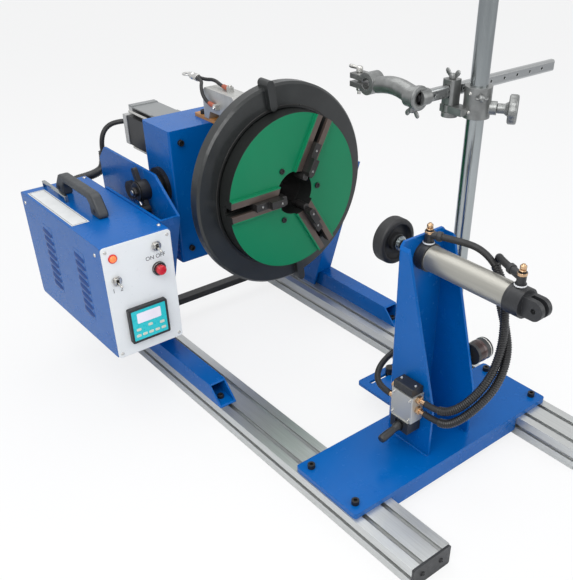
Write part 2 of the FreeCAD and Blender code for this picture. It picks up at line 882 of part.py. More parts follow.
def nose_cuts(half):
    """The two cuts that bring the tip of a jaw to a blunt point."""
    axis_z = spindle_height
    tip = 3.0
    back = 8.0
    cuts = []
    for side in (-1, 1):
        points = [Vector(body_back - 20, jaw_inner - 1, axis_z + side * tip),
                  Vector(body_back - 20, jaw_inner + back, axis_z + side * (half + 1)),
                  Vector(body_back - 20, jaw_inner - 1, axis_z + side * (half + 1))]
        face = Part.Face(Part.makePolygon(points + points[:1]))
        cuts.append(face.extrude(Vector(100, 0, 0)))
    return cuts[0].fuse(cuts[1])


# ---------------------------------------------------------------- cords
def cord_section(start, direction, diameter):
    """Section of a cord with many flats, of the same area as the round one."""
    area = pi * diameter ** 2 / 4
    turn = 2 * pi / cord_flats
    radius = sqrt(2 * area / (cord_flats * sin(turn)))
    side = direction.cross(AXIS_Z).normalize()
    rise = side.cross(direction).normalize()
    corners = [start + radius * (cos(turn * n) * side + sin(turn * n) * rise)
               for n in range(cord_flats)]
    return Part.makePolygon(corners + corners[:1])


def cord(points, diameter, name):
    """Tube along straight runs joined by tangent arcs, as large as the runs allow."""
    spots = [Vector(*point) for point in points]
    edges = []
    start = spots[0]
    for before, corner, after in zip(spots, spots[1:], spots[2:]):
        run_in = corner - before
        run_out = after - corner
        turn = run_in.getAngle(run_out)
        reach = 0.45 * min(run_in.Length, run_out.Length)
        radius = reach / tan(turn / 2)
        print("%s: turn %.0f radius %.1f (%.1f diameters)"
              % (name, degrees(turn), radius, radius / diameter))
        first = corner - run_in.normalize() * reach
        last = corner + run_out.normalize() * reach
        inward = ((first + last) / 2 - corner).normalize()
        middle = corner + inward * (radius / cos(turn / 2) - radius)
        edges.append(Part.makeLine(start, first))
        edges.append(Part.Arc(first, middle, last).toShape())
        start = last
    edges.append(Part.makeLine(start, spots[-1]))
    path = Part.Wire(edges)
    section = cord_section(spots[0], spots[1] - spots[0], diameter)
    print("%s: length %.0f" % (name, path.Length))
    return path.makePipeShell([section], True, False)


# ---------------------------------------------------------------- ground brush
def brush_plate():
    plate = box(brush_plate_x, brush_plate_x + brush_plate_length,
                brush_plate_y - brush_plate_width / 2, brush_plate_y + brush_plate_width / 2,
                head_top, brush_seat)
    return rounded(plate, brush_plate_corner, AXIS_Z)


def brush_block():
    """Cast holder on the insulating plate; its nose reaches out over the spindle flange."""
    half = brush_block_width / 2
    top = brush_seat + brush_block_height
    under = brush_seat + brush_nose_rise
    y0 = brush_block_y - half
    body = prism_y([(brush_block_x, brush_seat), (brush_heel_x, brush_seat),
                    (brush_heel_x + brush_slope, under), (brush_nose_x, under),
                    (brush_nose_x, top - brush_bevel), (brush_nose_x - brush_bevel, top),
                    (brush_block_x + brush_bevel, top), (brush_block_x, top - brush_bevel)],
                   y0, y0 + brush_block_width)
    upper = box(upper_terminal_x, upper_terminal_x + terminal, brush_block_y - terminal / 2,
                brush_block_y + terminal / 2, top, top + terminal)
    lower = box(lower_terminal_x, lower_terminal_x + terminal, y0 - terminal, y0,
                lower_terminal_z - terminal / 2, lower_terminal_z + terminal / 2)
    return fuse(body, upper, lower)


def brush_carbon():
    """Carbon brush that stands in the nose and rides on the rim of the spindle flange."""
    middle = ring_back - GAP - flange_thickness / 2
    half = carbon_size / 2
    near_edge = abs(brush_block_y) - half
    rim = spindle_height + sqrt(flange_radius ** 2 - near_edge ** 2)
    return box(middle - half, middle + half, brush_block_y - half, brush_block_y + half,
               rim + GAP, brush_seat + brush_nose_rise)


def ground_lug():
    """Ring lug with a round crimp that takes both leads."""
    x, y, z = lug_end_x, lug_end_y, lug_z
    half = lug_sheet / 2
    barrel = rod_x(lug_barrel_radius, x - lug_barrel_length, x, y, z)
    eye_x = x - lug_barrel_length - lug_eye_radius - 2 * half
    eye = rod_z(lug_eye_radius, z - half, z + half, eye_x, y)
    neck = box(eye_x, x - lug_barrel_length + half, y - lug_neck / 2, y + lug_neck / 2,
               z - half, z + half)
    hole = rod_z(lug_eye_radius / 2, z - lug_sheet, z + lug_sheet, eye_x, y)
    return fuse(barrel, eye, neck).cut(hole)


def ground_leads():
    """Two short leads from the lug to the terminals, each a stiff tube, and the lug."""
    return Part.makeCompound([ground_lug(), cord(lead_upper_route, lead_diameter, "lead_upper"),
                              cord(lead_lower_route, lead_diameter, "lead_lower")])


# ---------------------------------------------------------------- control box
def louvre(x, z):
    """One slanted louvre opening through the outer wall of the control box."""
    slot = box(x - louvre_length / 2, x + louvre_length / 2, ctrl_y0 - PAST,
               ctrl_y0 + ctrl_wall + PAST, z - louvre_gap / 2, z + louvre_gap / 2)
    return slot.rotate(Vector(x, 0, z), AXIS_Y, louvre_slant)


def control_box():
    shell = box(ctrl_x0, ctrl_x1, ctrl_y0, ctrl_y1, ctrl_bottom, ctrl_top)
    shell = rounded(shell, ctrl_corner, AXIS_Y)
    hollow = box(ctrl_x0 + ctrl_wall, ctrl_x1 + PAST, ctrl_y0 + ctrl_wall, ctrl_y1 - ctrl_wall,
                 ctrl_bottom + ctrl_wall, ctrl_top - ctrl_wall)
    hollow = rounded(hollow, ctrl_corner - ctrl_wall, AXIS_Y,
                     lambda middle: middle.x < ctrl_x0 + ctrl_corner)
    cuts = [hollow]
    for x in louvre_columns:
        for number in range(louvre_count):
            cuts.append(louvre(x, louvre_top - number * louvre_pitch))
    return shell.cut(cuts)


def control_panel():
    panel = box(ctrl_x1, panel_x, ctrl_y0, ctrl_y1, ctrl_bottom, ctrl_top)
    panel = rounded(panel, ctrl_corner, AXIS_X)
    holes = []
    for spot, radius in ((lamp_spot, lamp_radius - lamp_rim), (power_spot, bush_radius),
                         (stop_spot, stop_stem + stop_collar), (mode_spot, bush_radius)):
        holes.append(rod_x(radius, ctrl_x1 - PAST, panel_x + PAST, *spot))
    return panel.cut(holes)


def carry_handle():
    """Arched handle: two broad feet and a bar over the finger gap."""
    half = handle_length / 2
    x0, x1 = handle_x - half, handle_x + half
    z0, z1 = ctrl_top, ctrl_top + handle_rise
    slope = handle_foot * 0.6
    foot0, foot1 = x0 + handle_foot, x1 - handle_foot
    under = z1 - handle_bar
    outer = prism_y([(x0, z0), (x1, z0), (x1, z0 + handle_toe), (x1 - slope, z1),
                     (x0 + slope, z1), (x0, z0 + handle_toe)],
                    handle_y - handle_depth / 2, handle_y + handle_depth / 2)
    inner = prism_y([(foot0, z0 - PAST), (foot1, z0 - PAST), (foot1, under - handle_toe),
                     (foot1 - handle_throat, under), (foot0 + handle_throat, under),
                     (foot0, under - handle_toe)],
                    handle_y - handle_depth, handle_y + handle_depth)
    handle = outer.cut(inner)
    return rounded(handle, handle_edge, AXIS_X, lambda middle: middle.z > z1 - PAST)


def strap():
    """Bright strap beside the handle, on the lid."""
    y = handle_y - handle_depth / 2 - strap_gap
    half = strap_width / 2
    outer = box(strap_x0, strap_x1, y - half, y + half, ctrl_top, ctrl_top + strap_rise)
    return outer.cut(box(strap_x0 + strap_sheet, strap_x1 - strap_sheet, y - half - PAST,
                         y + half + PAST, ctrl_top - PAST, ctrl_top + strap_rise - strap_sheet))


def pilot_lamp():
    y, z = lamp_spot
    lens = rod_x(lamp_radius, panel_x, panel_x + lamp_proud, y, z)
    return fuse(lens, rod_x(lamp_radius - lamp_rim, ctrl_x1 - lamp_depth, panel_x, y, z))


def toggle_bush(spot):
    """Toggle switch body behind the panel, with its bush, nut and slotted mouth."""
    y, z = spot
    half = switch_body / 2
    opening = bush_radius - bush_wall
    reach = toggle_half + PAST
    body = box(ctrl_x1 - switch_depth, ctrl_x1, y - half, y + half, z - half, z + half)
    nut = hexagon_x(switch_nut, panel_x, panel_x + switch_nut_height, y, z)
    bush = rod_x(bush_radius, ctrl_x1, panel_x + bush_proud, y, z)
    mouth = box(panel_x - toggle_height, panel_x + bush_proud + PAST, y - toggle_half - GAP,
                y + toggle_half + GAP, z - opening, z + opening)
    pin = rod_y(toggle_pin, y - reach, y + reach, panel_x, z)
    return fuse(fuse(body, nut, bush).cut(mouth), pin)


def toggle_lever(spot):
    """Flat toggle that turns on the pin in its bush."""
    y, z = spot
    half = toggle_height / 2
    tip = panel_x + toggle_length
    lever = box(panel_x - switch_nut_height, tip, y - toggle_half, y + toggle_half,
                z - half, z + half)
    lever = rounded(lever, toggle_tip, AXIS_Y, lambda middle: middle.x > tip - PAST)
    lever = lever.cut(rod_y(toggle_pin + RUNNING, y - switch_body, y + switch_body, panel_x, z))
    return lever.rotate(Vector(panel_x, y, z), AXIS_Y, toggle_throw)


def stop_bezel():
    y, z = stop_spot
    ring = fuse(rod_x(stop_radius + stop_bezel_width, panel_x, panel_x + stop_proud, y, z),
                rod_x(stop_stem + stop_collar, ctrl_x1 - stop_depth, panel_x, y, z))
    return ring.cut(rod_x(stop_stem + RUNNING, ctrl_x1 - lamp_depth, panel_x + stop_proud + PAST,
                          y, z))


def stop_button():
    y, z = stop_spot
    front = panel_x + stop_proud + stop_travel + GAP
    stem = rod_x(stop_stem, ctrl_x1 - lamp_depth + stop_travel + GAP, front, y, z)
    return fuse(stem, rod_x(stop_radius, front, front + stop_cap, y, z))


def display_unit():
    """Display housing on the panel with a sunk face plate behind its rim."""
    y0, y1 = display_y - display_width / 2, display_y + display_width / 2
    z0, z1 = display_z - display_height / 2, display_z + display_height / 2
    front = panel_x + display_depth
    floor = front - display_recess
    bezel = rounded(box(panel_x, front, y0, y1, z0, z1), display_corner, AXIS_X)
    window = (y0 + display_rim, y1 - display_rim, z0 + display_rim, z1 - display_rim)
    bezel = bezel.cut(box(floor, front + PAST, *window))
    return Part.makeCompound([bezel, box(floor, floor + display_glass, *window)])


def conduit_elbow():
    """Conduit from the back of the control box, round and up behind the support plate."""
    points = [(ctrl_x0, elbow_y, elbow_z), (elbow_x - elbow_swing, elbow_y, elbow_z),
              (elbow_x, elbow_end_y - elbow_run, elbow_z + elbow_swing),
              (elbow_x, elbow_end_y, elbow_z + elbow_run),
              (elbow_x, elbow_end_y, elbow_top)]
    return cord(points, elbow_diameter, "conduit_elbow")


# ---------------------------------------------------------------- tailstock
def tail_plate():
    half = rail_outer - tail_overhang
    plate = box(tail_x - tail_length / 2, tail_x + tail_length / 2, -half, half, rail_top, tail_top)
    plate = rounded(plate, tail_corner, AXIS_Z)
    holes = [rod_z(clamp_hole, rail_top - PAST, tail_top + PAST, x, y) for x, y in clamp_spots()]
    return plate.cut(holes)


def clamp_spots():
    reach = tail_length / 2 - clamp_inset
    return [(tail_x + side * reach, y) for side in (-1, 1) for y in (-slot_line, slot_line)]


def clamp_screw(x, y):
    """Socket screw through the plate into its T-nut in the outer slot of the rail."""
    top = tail_top + clamp_head
    half = clamp_nut / 2
    head = rod_z(clamp_head_radius, tail_top, top, x, y)
    shank = rod_z(clamp_shank, rail_top - slot_depth + 2 * PAST, tail_top, x, y)
    nut_half = slot_inner / 2 - 2 * GAP
    nut = box(x - half, x + half, y - nut_half, y + nut_half,
              rail_top - (slot_depth + slot_lip) / 2 + GAP, rail_top - slot_lip - GAP)
    socket = hexagon_z(clamp_socket, top - clamp_head / 2, top + PAST, x, y)
    return fuse(head, shank, nut).cut(socket)


def keel():
    """Open-ended hollow section under the plate that keeps it square between the rails."""
    half = rail_inner - keel_play
    x1 = tail_x + tail_length / 2 - keel_inset
    x0 = x1 - keel_width
    z1, z0 = rail_top, rail_top - keel_height
    outer = box(x0, x1, -half, half, z0, z1)
    inner = box(x0 + keel_wall, x1 - keel_wall, -half - PAST, half + PAST, z0 + keel_wall,
                z1 - keel_wall)
    return outer.cut(inner)


def tower():
    """Folded sheet column: back plate and two tapering flanges, open to the front."""
    neck_x = tower_back + tower_neck
    outline = [(tower_back, tail_top), (tower_front, tail_top), (tower_front, tower_knee),
               (neck_x, tower_top - tower_lip), (neck_x - tower_lip, tower_top),
               (tower_back, tower_top)]
    solid = prism_y(outline, -tower_half_width, tower_half_width)
    solid = rounded(solid, tower_bend, AXIS_Z, lambda middle: middle.x < tower_back + PAST)
    inner_half = tower_half_width - tower_sheet
    inside = box(cap_x, tower_front + PAST, -inner_half, inner_half, tail_top - PAST,
                 tower_top + PAST)
    side = -tower_half_width - PAST
    crown = prism_x([(side, tower_top - tower_crown), (side, tower_top + PAST),
                     (side + tower_crown, tower_top + PAST)], tower_back - PAST, tower_front)
    hole = rod_x(nose_radius + RUNNING, tower_back - PAST, cap_x + PAST, 0, spindle_height)
    return solid.cut([inside, hole, crown, mirror_y(crown)])


def cylinder_front_cap():
    cap = rod_x(cylinder_cap_radius, cap_x, barrel_x, 0, spindle_height)
    nose = rod_x(nose_radius, tower_back - nose_length, cap_x, 0, spindle_height)
    bore = rod_x(rod_radius + RUNNING, tower_back - nose_length - 1, barrel_x + 1, 0,
                 spindle_height)
    return fuse(cap, nose).cut(bore)


def hexagon_x(across, x0, x1, y, z):
    radius = across / 2 / cos(radians(30))
    points = [(y + radius * cos(radians(60 * n)), z + radius * sin(radians(60 * n)))
              for n in range(6)]
    return prism_x(points, x0, x1)


def hexagon_z(across, z0, z1, x, y):
    radius = across / 2 / cos(radians(30))
    corners = [Vector(x + radius * cos(radians(60 * n)), y + radius * sin(radians(60 * n)), z0)
               for n in range(6)]
    return Part.Face(Part.makePolygon(corners + corners[:1])).extrude(Vector(0, 0, z1 - z0))


def nose_nut_ring():
    x0 = tower_back - nose_nut
    nut = hexagon_x(nose_nut_across, x0, tower_back, 0, spindle_height)
    return nut.cut(rod_x(nose_radius, x0 - PAST, tower_back + PAST, 0, spindle_height))


def cylinder_barrel():
    tube = rod_x(cylinder_radius, barrel_x, rear_x, 0, spindle_height)
    return tube.cut(rod_x(cylinder_radius - cylinder_wall, barrel_x - 1, rear_x + 1, 0,
                          spindle_height))


def cylinder_rear_cap():
    """Rear cap with its clevis: two ears round a cross hole."""
    z = spindle_height
    cap = rod_x(cylinder_cap_radius, rear_x, clevis_x, 0, z)
    half = clevis_height / 2
    x1 = clevis_x + clevis_length
    eye_x = x1 - half
    ear = fuse(box(clevis_x, eye_x, -clevis_width / 2, clevis_width / 2, z - half, z + half),
               rod_y(half, -clevis_width / 2, clevis_width / 2, eye_x, z))
    slot = box(clevis_x + clevis_web, x1 + PAST, -clevis_slot / 2, clevis_slot / 2,
               z - half - PAST, z + half + PAST)
    hole = rod_y(clevis_hole, -clevis_width, clevis_width, eye_x, z)
    return fuse(cap, ear).cut([slot, hole])


def cylinder_caps():
    return Part.makeCompound([cylinder_front_cap(), nose_nut_ring(), cylinder_rear_cap()])


def piston_rod():
    """Rod, piston and the journal that the pressing pad turns on."""
    z = spindle_height
    piston_x = barrel_x + stroke + piston_rest
    collar_x = pad_face + pad_thickness
    rod = rod_x(rod_radius, pad_face + pad_step, piston_x, 0, z)
    piston = rod_x(cylinder_radius - cylinder_wall - RUNNING, piston_x, piston_x + piston_length,
                   0, z)
    collar = rod_x(rod_radius + rod_collar, collar_x + GAP, collar_x + pad_boss, 0, z)
    return fuse(rod, piston, collar)


def pressing_pad():
    """Dished disc that turns on the rod end, its hub standing in a ring-shaped recess."""
    z = spindle_height
    x1 = pad_face + pad_thickness
    floor = x1 - pad_recess
    disc = fuse(rod_x(pad_radius - pad_bevel, pad_face, x1, 0, z),
                rod_x(pad_radius, pad_face + pad_step, x1, 0, z))
    boss = rod_x(rod_radius + pad_boss, floor - PAST, x1 + 2 * PAST, 0, z)
    recess = rod_x(pad_radius - pad_rim, floor, x1 + PAST, 0, z).cut(boss)
    bore = rod_x(rod_radius + RUNNING, pad_face + pad_step - GAP, x1 + PAST, 0, z)
    return disc.cut([recess, bore])


def port_elbow(x, arm):
    """Flow-control elbow on a cylinder cap: upright body, hose arm, needle bore."""
    base = spindle_height + cylinder_cap_radius - port_sink
    top = base + port_rise
    body = rod_z(port_body_radius, base, top, x, 0)
    seal = rod_z(port_seal_radius, base, base + port_seal, x, 0)
    tip = Vector(*arm)
    start = Vector(x, 0, tip.z)
    direction = tip - start
    pipe = Part.makeCylinder(port_arm_radius, direction.Length, start, direction)
    bore = rod_z(needle_radius + RUNNING, base + port_plug, top + PAST, x, 0)
    reach = front_cap_length
    cap_round = rod_x(cylinder_cap_radius, x - reach, x + reach, 0, spindle_height)
    return fuse(body, seal, pipe).cut([bore, cap_round])


def needle_screw(x):
    base = spindle_height + cylinder_cap_radius - port_sink
    top = base + port_rise
    stem = rod_z(needle_radius, base + port_plug + PAST, top + GAP, x, 0)
    knob = rod_z(needle_knob_radius, top + GAP, top + needle_knob, x, 0)
    return fuse(stem, knob)


# ---------------------------------------------------------------- hand valve
def valve_body():
    """Five-port valve block on the tower flange, ports on both edges."""
    half = valve_width / 2
    block = box(valve_x - half, valve_x + half, valve_y - valve_depth, valve_y, valve_bottom,
                valve_top)
    return rounded(block, valve_corner, AXIS_Z)


def valve_top_cap():
    half = valve_width / 2 - valve_cap_inset
    cap = box(valve_x - half, valve_x + half, valve_y - valve_depth + PAST, valve_y - PAST,
              valve_top, valve_top + valve_cap)
    return rounded(cap, valve_cap_inset, AXIS_X)


def valve_lever_housing():
    half = valve_width / 2 - valve_foot_inset
    mouth = valve_mouth / 2
    side = valve_mouth_width / 2
    block = box(valve_x - half, valve_x + half, valve_front, valve_y,
                valve_bottom - valve_foot, valve_bottom)
    slot = box(valve_x - side, valve_x + side, valve_front - PAST,
               valve_front + valve_mouth + valve_foot_inset, valve_lever_z - mouth,
               valve_lever_z + mouth)
    pin = rod_x(valve_pin, valve_x - half, valve_x + half, valve_front + valve_pivot,
                valve_lever_z)
    return fuse(block.cut(slot), pin)


def hand_valve():
    return Part.makeCompound([valve_body(), valve_top_cap(), valve_lever_housing()])


def valve_lever():
    """Eye on the pin of the lever housing with its round grip, which droops at rest."""
    pivot_y = valve_front + valve_pivot
    side = valve_mouth_width / 2
    eye = rod_x(valve_eye, valve_x - side + GAP, valve_x + side - GAP, pivot_y, valve_lever_z)
    grip = rod_y(valve_grip, pivot_y - valve_lever_length, pivot_y - valve_grip_start, valve_x,
                 valve_lever_z)
    bore = rod_x(valve_pin + RUNNING, valve_x - valve_mouth_width, valve_x + valve_mouth_width,
                 pivot_y, valve_lever_z)
    lever = fuse(eye, grip).cut(bore)
    return lever.rotate(Vector(valve_x, pivot_y, valve_lever_z), AXIS_X, valve_lever_droop)


def valve_fitting(side, z, length):
    """Brass hexagon and barb on one edge of the valve."""
    edge = valve_x + side * valve_width / 2
    shoulder = edge + side * fitting_nut
    y = valve_y - valve_depth / 2
    hex_x = sorted((edge, shoulder))
    barb_x = sorted((shoulder, edge + side * length))
    return fuse(hexagon_x(fitting_across, hex_x[0], hex_x[1], y, z),
                rod_x(fitting_barb, barb_x[0], barb_x[1], y, z))


def valve_fittings():
    return Part.makeCompound([valve_fitting(1, valve_top - 6, 16),
                              valve_fitting(1, valve_bottom + 25, 16),
                              valve_fitting(-1, valve_bottom + 22, 16),
                              valve_fitting(-1, valve_top - 6, 10)])


def air_filter():
    """Round air filter on a bracket outside the far flange of the tower."""
    x, z = filter_x, filter_z
    y0 = tower_half_width
    bowl_y = y0 + filter_stand_off
    reach = 2 * filter_radius
    bracket = box(x - reach - filter_length / 2, x, y0, y0 + filter_bracket, z - reach + filter_bracket,
                  z - filter_radius / 2)
    stem = rod_y(filter_port + 2 * PAST, y0, bowl_y + PAST, x - filter_bracket, z - filter_bracket)
    bowl = rod_y(filter_radius, bowl_y, bowl_y + filter_length, x, z)
    port = rod_x(filter_port, x - reach + 2 * filter_port - filter_bracket, x,
                 bowl_y + filter_length / 2 - filter_bracket, z)
    return fuse(bracket, stem, bowl, port)


# ---------------------------------------------------------------- torch stand
def stand_plate():
    """Foot plate on the far rail, reaching inwards, with a slot for its clamp knob."""
    y1 = rail_outer - tail_overhang
    x0, x1 = stand_x - stand_width / 2, stand_x + stand_width / 2
    plate = box(x0, x1, stand_inner_y, y1, rail_top, rail_top + stand_thickness)
    plate = rounded(plate, stand_corner, AXIS_Z)
    half = stand_slot / 2
    y0, y2 = stand_inner_y + stand_slot_inset, rail_inner - stand_slot_inset
    z0, z1 = rail_top - PAST, rail_top + stand_thickness + PAST
    slot = fuse(box(slot_x - half, slot_x + half, y0, y2, z0, z1), rod_z(half, z0, z1, slot_x, y0),
                rod_z(half, z0, z1, slot_x, y2))
    return plate.cut(slot)


def slot_knob():
    plate_top = rail_top + stand_thickness
    low = rail_top - slot_washer
    stem = rod_z(stand_slot / 2 - GAP, low, plate_top + stand_slot, slot_x, slot_knob_y)
    washer = rod_z(stand_slot, low, rail_top - GAP, slot_x, slot_knob_y)
    knob = rod_z(slot_knob_radius, plate_top + GAP, plate_top + slot_knob_height, slot_x,
                 slot_knob_y)
    return fuse(stem, washer, knob)


def column():
    z0 = rail_top + stand_thickness
    z1 = z0 + column_flange
    tube = rod_z(column_radius, z0, column_top, column_x, column_y)
    flange = rod_z(column_flange_radius, z0, z1, column_x, column_y)
    collar = rod_z(column_collar_radius, z1, z0 + column_collar, column_x, column_y)
    return fuse(tube, flange, collar)


def towards_knob(shape):
    """Turn a shape drawn along +X from the column to where the height knob points."""
    return shape.rotate(Vector(column_x, column_y, 0), AXIS_Z, knob_angle)


def sleeve():
    """Height clamp on the column: split sleeve, knob boss and the arm that holds the bracket."""
    z0, z1 = sleeve_bottom, sleeve_bottom + sleeve_height
    arm_bottom = z0 + arm_z0
    body = rod_z(sleeve_radius, z0, z1, column_x, column_y)
    boss = towards_knob(rod_x(knob_boss_radius, column_x, column_x + sleeve_radius + knob_boss,
                              column_y, z0 + knob_z))
    arm = box(bar_x - arm_half, column_x, bracket_y - arm_half, bracket_y + arm_half,
              arm_bottom, arm_top)
    eye = rod_z(arm_eye_radius, arm_bottom, arm_top, bar_x, bracket_y)
    bore = rod_z(column_radius + RUNNING, z0 - PAST, z1 + PAST, column_x, column_y)
    post = rod_z(bracket_post + RUNNING, z0 - PAST, z1 + PAST, bar_x, bracket_y)
    thread = towards_knob(rod_x(knob_screw + RUNNING, column_x,
                                column_x + 2 * sleeve_radius + knob_boss, column_y, z0 + knob_z))
    return fuse(body, boss, arm, eye).cut([bore, post, thread])


def sleeve_knob():
    """Clamp knob of the sleeve: screw, collar and a disc."""
    z = sleeve_bottom + knob_z
    reach = column_x + sleeve_radius + knob_boss
    disc_x = reach + knob_collar
    screw = rod_x(knob_screw, column_x + column_radius + GAP, disc_x + PAST, column_y, z)
    collar = rod_x(knob_collar_radius, reach + GAP, disc_x, column_y, z)
    disc = rod_x(knob_radius, disc_x, disc_x + knob_thickness, column_y, z)
    return towards_knob(fuse(screw, collar, disc))


def bar_bracket():
    """Swivelling bracket: post through the arm, disc below, slotted head for the cross bar."""
    arm_bottom = sleeve_bottom + arm_z0
    half_t = bar_thickness / 2 + GAP
    half_h = bar_height / 2 + GAP
    bar_top = bar_z + bar_height / 2
    disc = rod_z(bracket_disc, sleeve_bottom - 2 * PAST, arm_bottom - GAP, bar_x, bracket_y)
    post = rod_z(bracket_post, arm_bottom - GAP, arm_top + 2 * PAST, bar_x, bracket_y)
    head = box(bar_x - arm_half, bar_x + arm_half, bracket_y - arm_half, bracket_y + arm_half,
               arm_top + GAP, bar_top + bracket_lid)
    head = rounded(head, bracket_corner, AXIS_Z)
    slot = box(bar_x - half_t, bar_x + half_t, bracket_y - arm_half - PAST,
               bracket_y + arm_half + PAST, bar_z - half_h, bar_z + half_h)
    thread = rod_z(wing_stem + RUNNING, bar_top, bar_top + bracket_lid + PAST, bar_x, bracket_y)
    return fuse(disc, post, head).cut([slot, thread])


def wing_screw(z, x, y):
    """Upright wing screw: stem, round hub and two raised wings."""
    stem = rod_z(wing_stem, z - bracket_lid + GAP, z + GAP, x, y)
    hub = rod_z(wing_hub_radius, z + GAP, z + wing_hub, x, y)
    wing = prism_y([(-16, 14), (-11, 16), (-4, 8), (-4, 1), (4, 1), (4, 8), (11, 16), (16, 14),
                    (7, 1), (-7, 1)], -wing_half, wing_half)
    wing.translate(Vector(x, y, z))
    return fuse(stem, hub, wing)


def cross_bar():
    half_t = bar_thickness / 2
    half_h = bar_height / 2
    bar = box(bar_x - half_t, bar_x + half_t, bar_start, bar_end, bar_z - half_h, bar_z + half_h)
    bar = rounded(bar, bar_corner, AXIS_Y)
    spigot = rod_y(spigot_radius, holder_y - spigot_length, bar_start, bar_x, bar_z)
    count = int((bar_end - bar_hole_start) / bar_hole_pitch)
    marks = [rod_x(bar_hole, bar_x, bar_x + bar_thickness, bar_hole_start + n * bar_hole_pitch, bar_z)
             for n in range(count)]
    return fuse(bar, spigot).cut(marks)


def holder_neck():
    """Curved neck from the socket to the torch clamp, with many flats."""
    start = Vector(bar_x - neck_start, holder_y, bar_z)
    crest = Vector((bar_x + clamp_x) / 2 + torch_wall, holder_y, bar_z + neck_lift)
    end = Vector(clamp_x + 2 * torch_wall, holder_y, lip_z)
    arc = Part.Arc(start, crest, end).toShape()
    section = cord_section(start, arc.tangentAt(arc.FirstParameter), 2 * neck_radius)
    return Part.Wire([arc]).makePipeShell([section], True, False)


def torch_holder():
    """Cast elbow: hub on the bar end, open socket, curved neck and split torch clamp."""
    z = bar_z
    y = holder_y
    half = torch_width / 2
    lip_half = lip_height / 2
    mouth = bar_x + socket_front
    hub = rod_y(hub_barrel, y, bar_start - GAP, bar_x, z)
    socket = rod_x(socket_radius, mouth - socket_length, mouth, y, z)
    ring = rod_x(socket_radius + socket_rim, mouth - 2 * socket_front, mouth, y, z)
    outer = rod_y(torch_bore + torch_wall, y - half, y + half, clamp_x, lip_z)
    lips = box(clamp_x - lip_reach, clamp_x, y - half, y + half, lip_z - lip_half, lip_z + lip_half)
    body = fuse(hub, socket, ring, holder_neck(), outer, lips)
    cuts = [rod_y(spigot_radius + RUNNING, y - spigot_length - PAST, bar_start, bar_x, z),
            rod_x(socket_radius - socket_wall, mouth - 2 * socket_front, mouth + PAST, y, z),
            rod_y(torch_bore, y - half - PAST, y + half + PAST, clamp_x, lip_z),
            box(clamp_x - lip_reach - PAST, clamp_x, y - half - PAST, y + half + PAST,
                lip_z - torch_split / 2, lip_z + torch_split / 2),
            rod_z(wing_stem + RUNNING, lip_z - lip_half - PAST, lip_z + lip_half + PAST, bolt_x, y),
            rod_z(wing_stem + RUNNING, screw_seat - PAST, screw_seat + bracket_lid,
                  bar_x - neck_start, y)]
    return body.cut(cuts)


def torch_wing_bolt():
    """Bolt through the lips of the torch clamp, with one long handle."""
    top = lip_z + lip_height / 2
    low = lip_z - lip_height / 2
    grip = torch_rise
    shank = rod_z(wing_stem, low - bolt_tail, top + GAP, bolt_x, holder_y)
    nut = rod_z(bolt_nut, low - bolt_tail, low - GAP, bolt_x, holder_y)
    hub = rod_z(wing_hub_radius, top + GAP, top + knob_boss, bolt_x, holder_y)
    handle = box(bolt_x - bolt_handle, bolt_x, holder_y - 2 * grip, holder_y + 2 * grip,
                 top + grip, top + 3 * grip)
    handle = rounded(handle, bar_corner - GAP, AXIS_Z,
                     lambda middle: middle.x < bolt_x - bolt_handle / 2)
    return fuse(shank, nut, hub, handle)


def socket_wing_screw():
    """Wing screw under the socket of the torch holder."""
    screw = wing_screw(0, 0, 0).rotate(Vector(0, 0, 0), AXIS_X, 180)
    screw.translate(Vector(bar_x - neck_start, holder_y, screw_seat))
    return screw


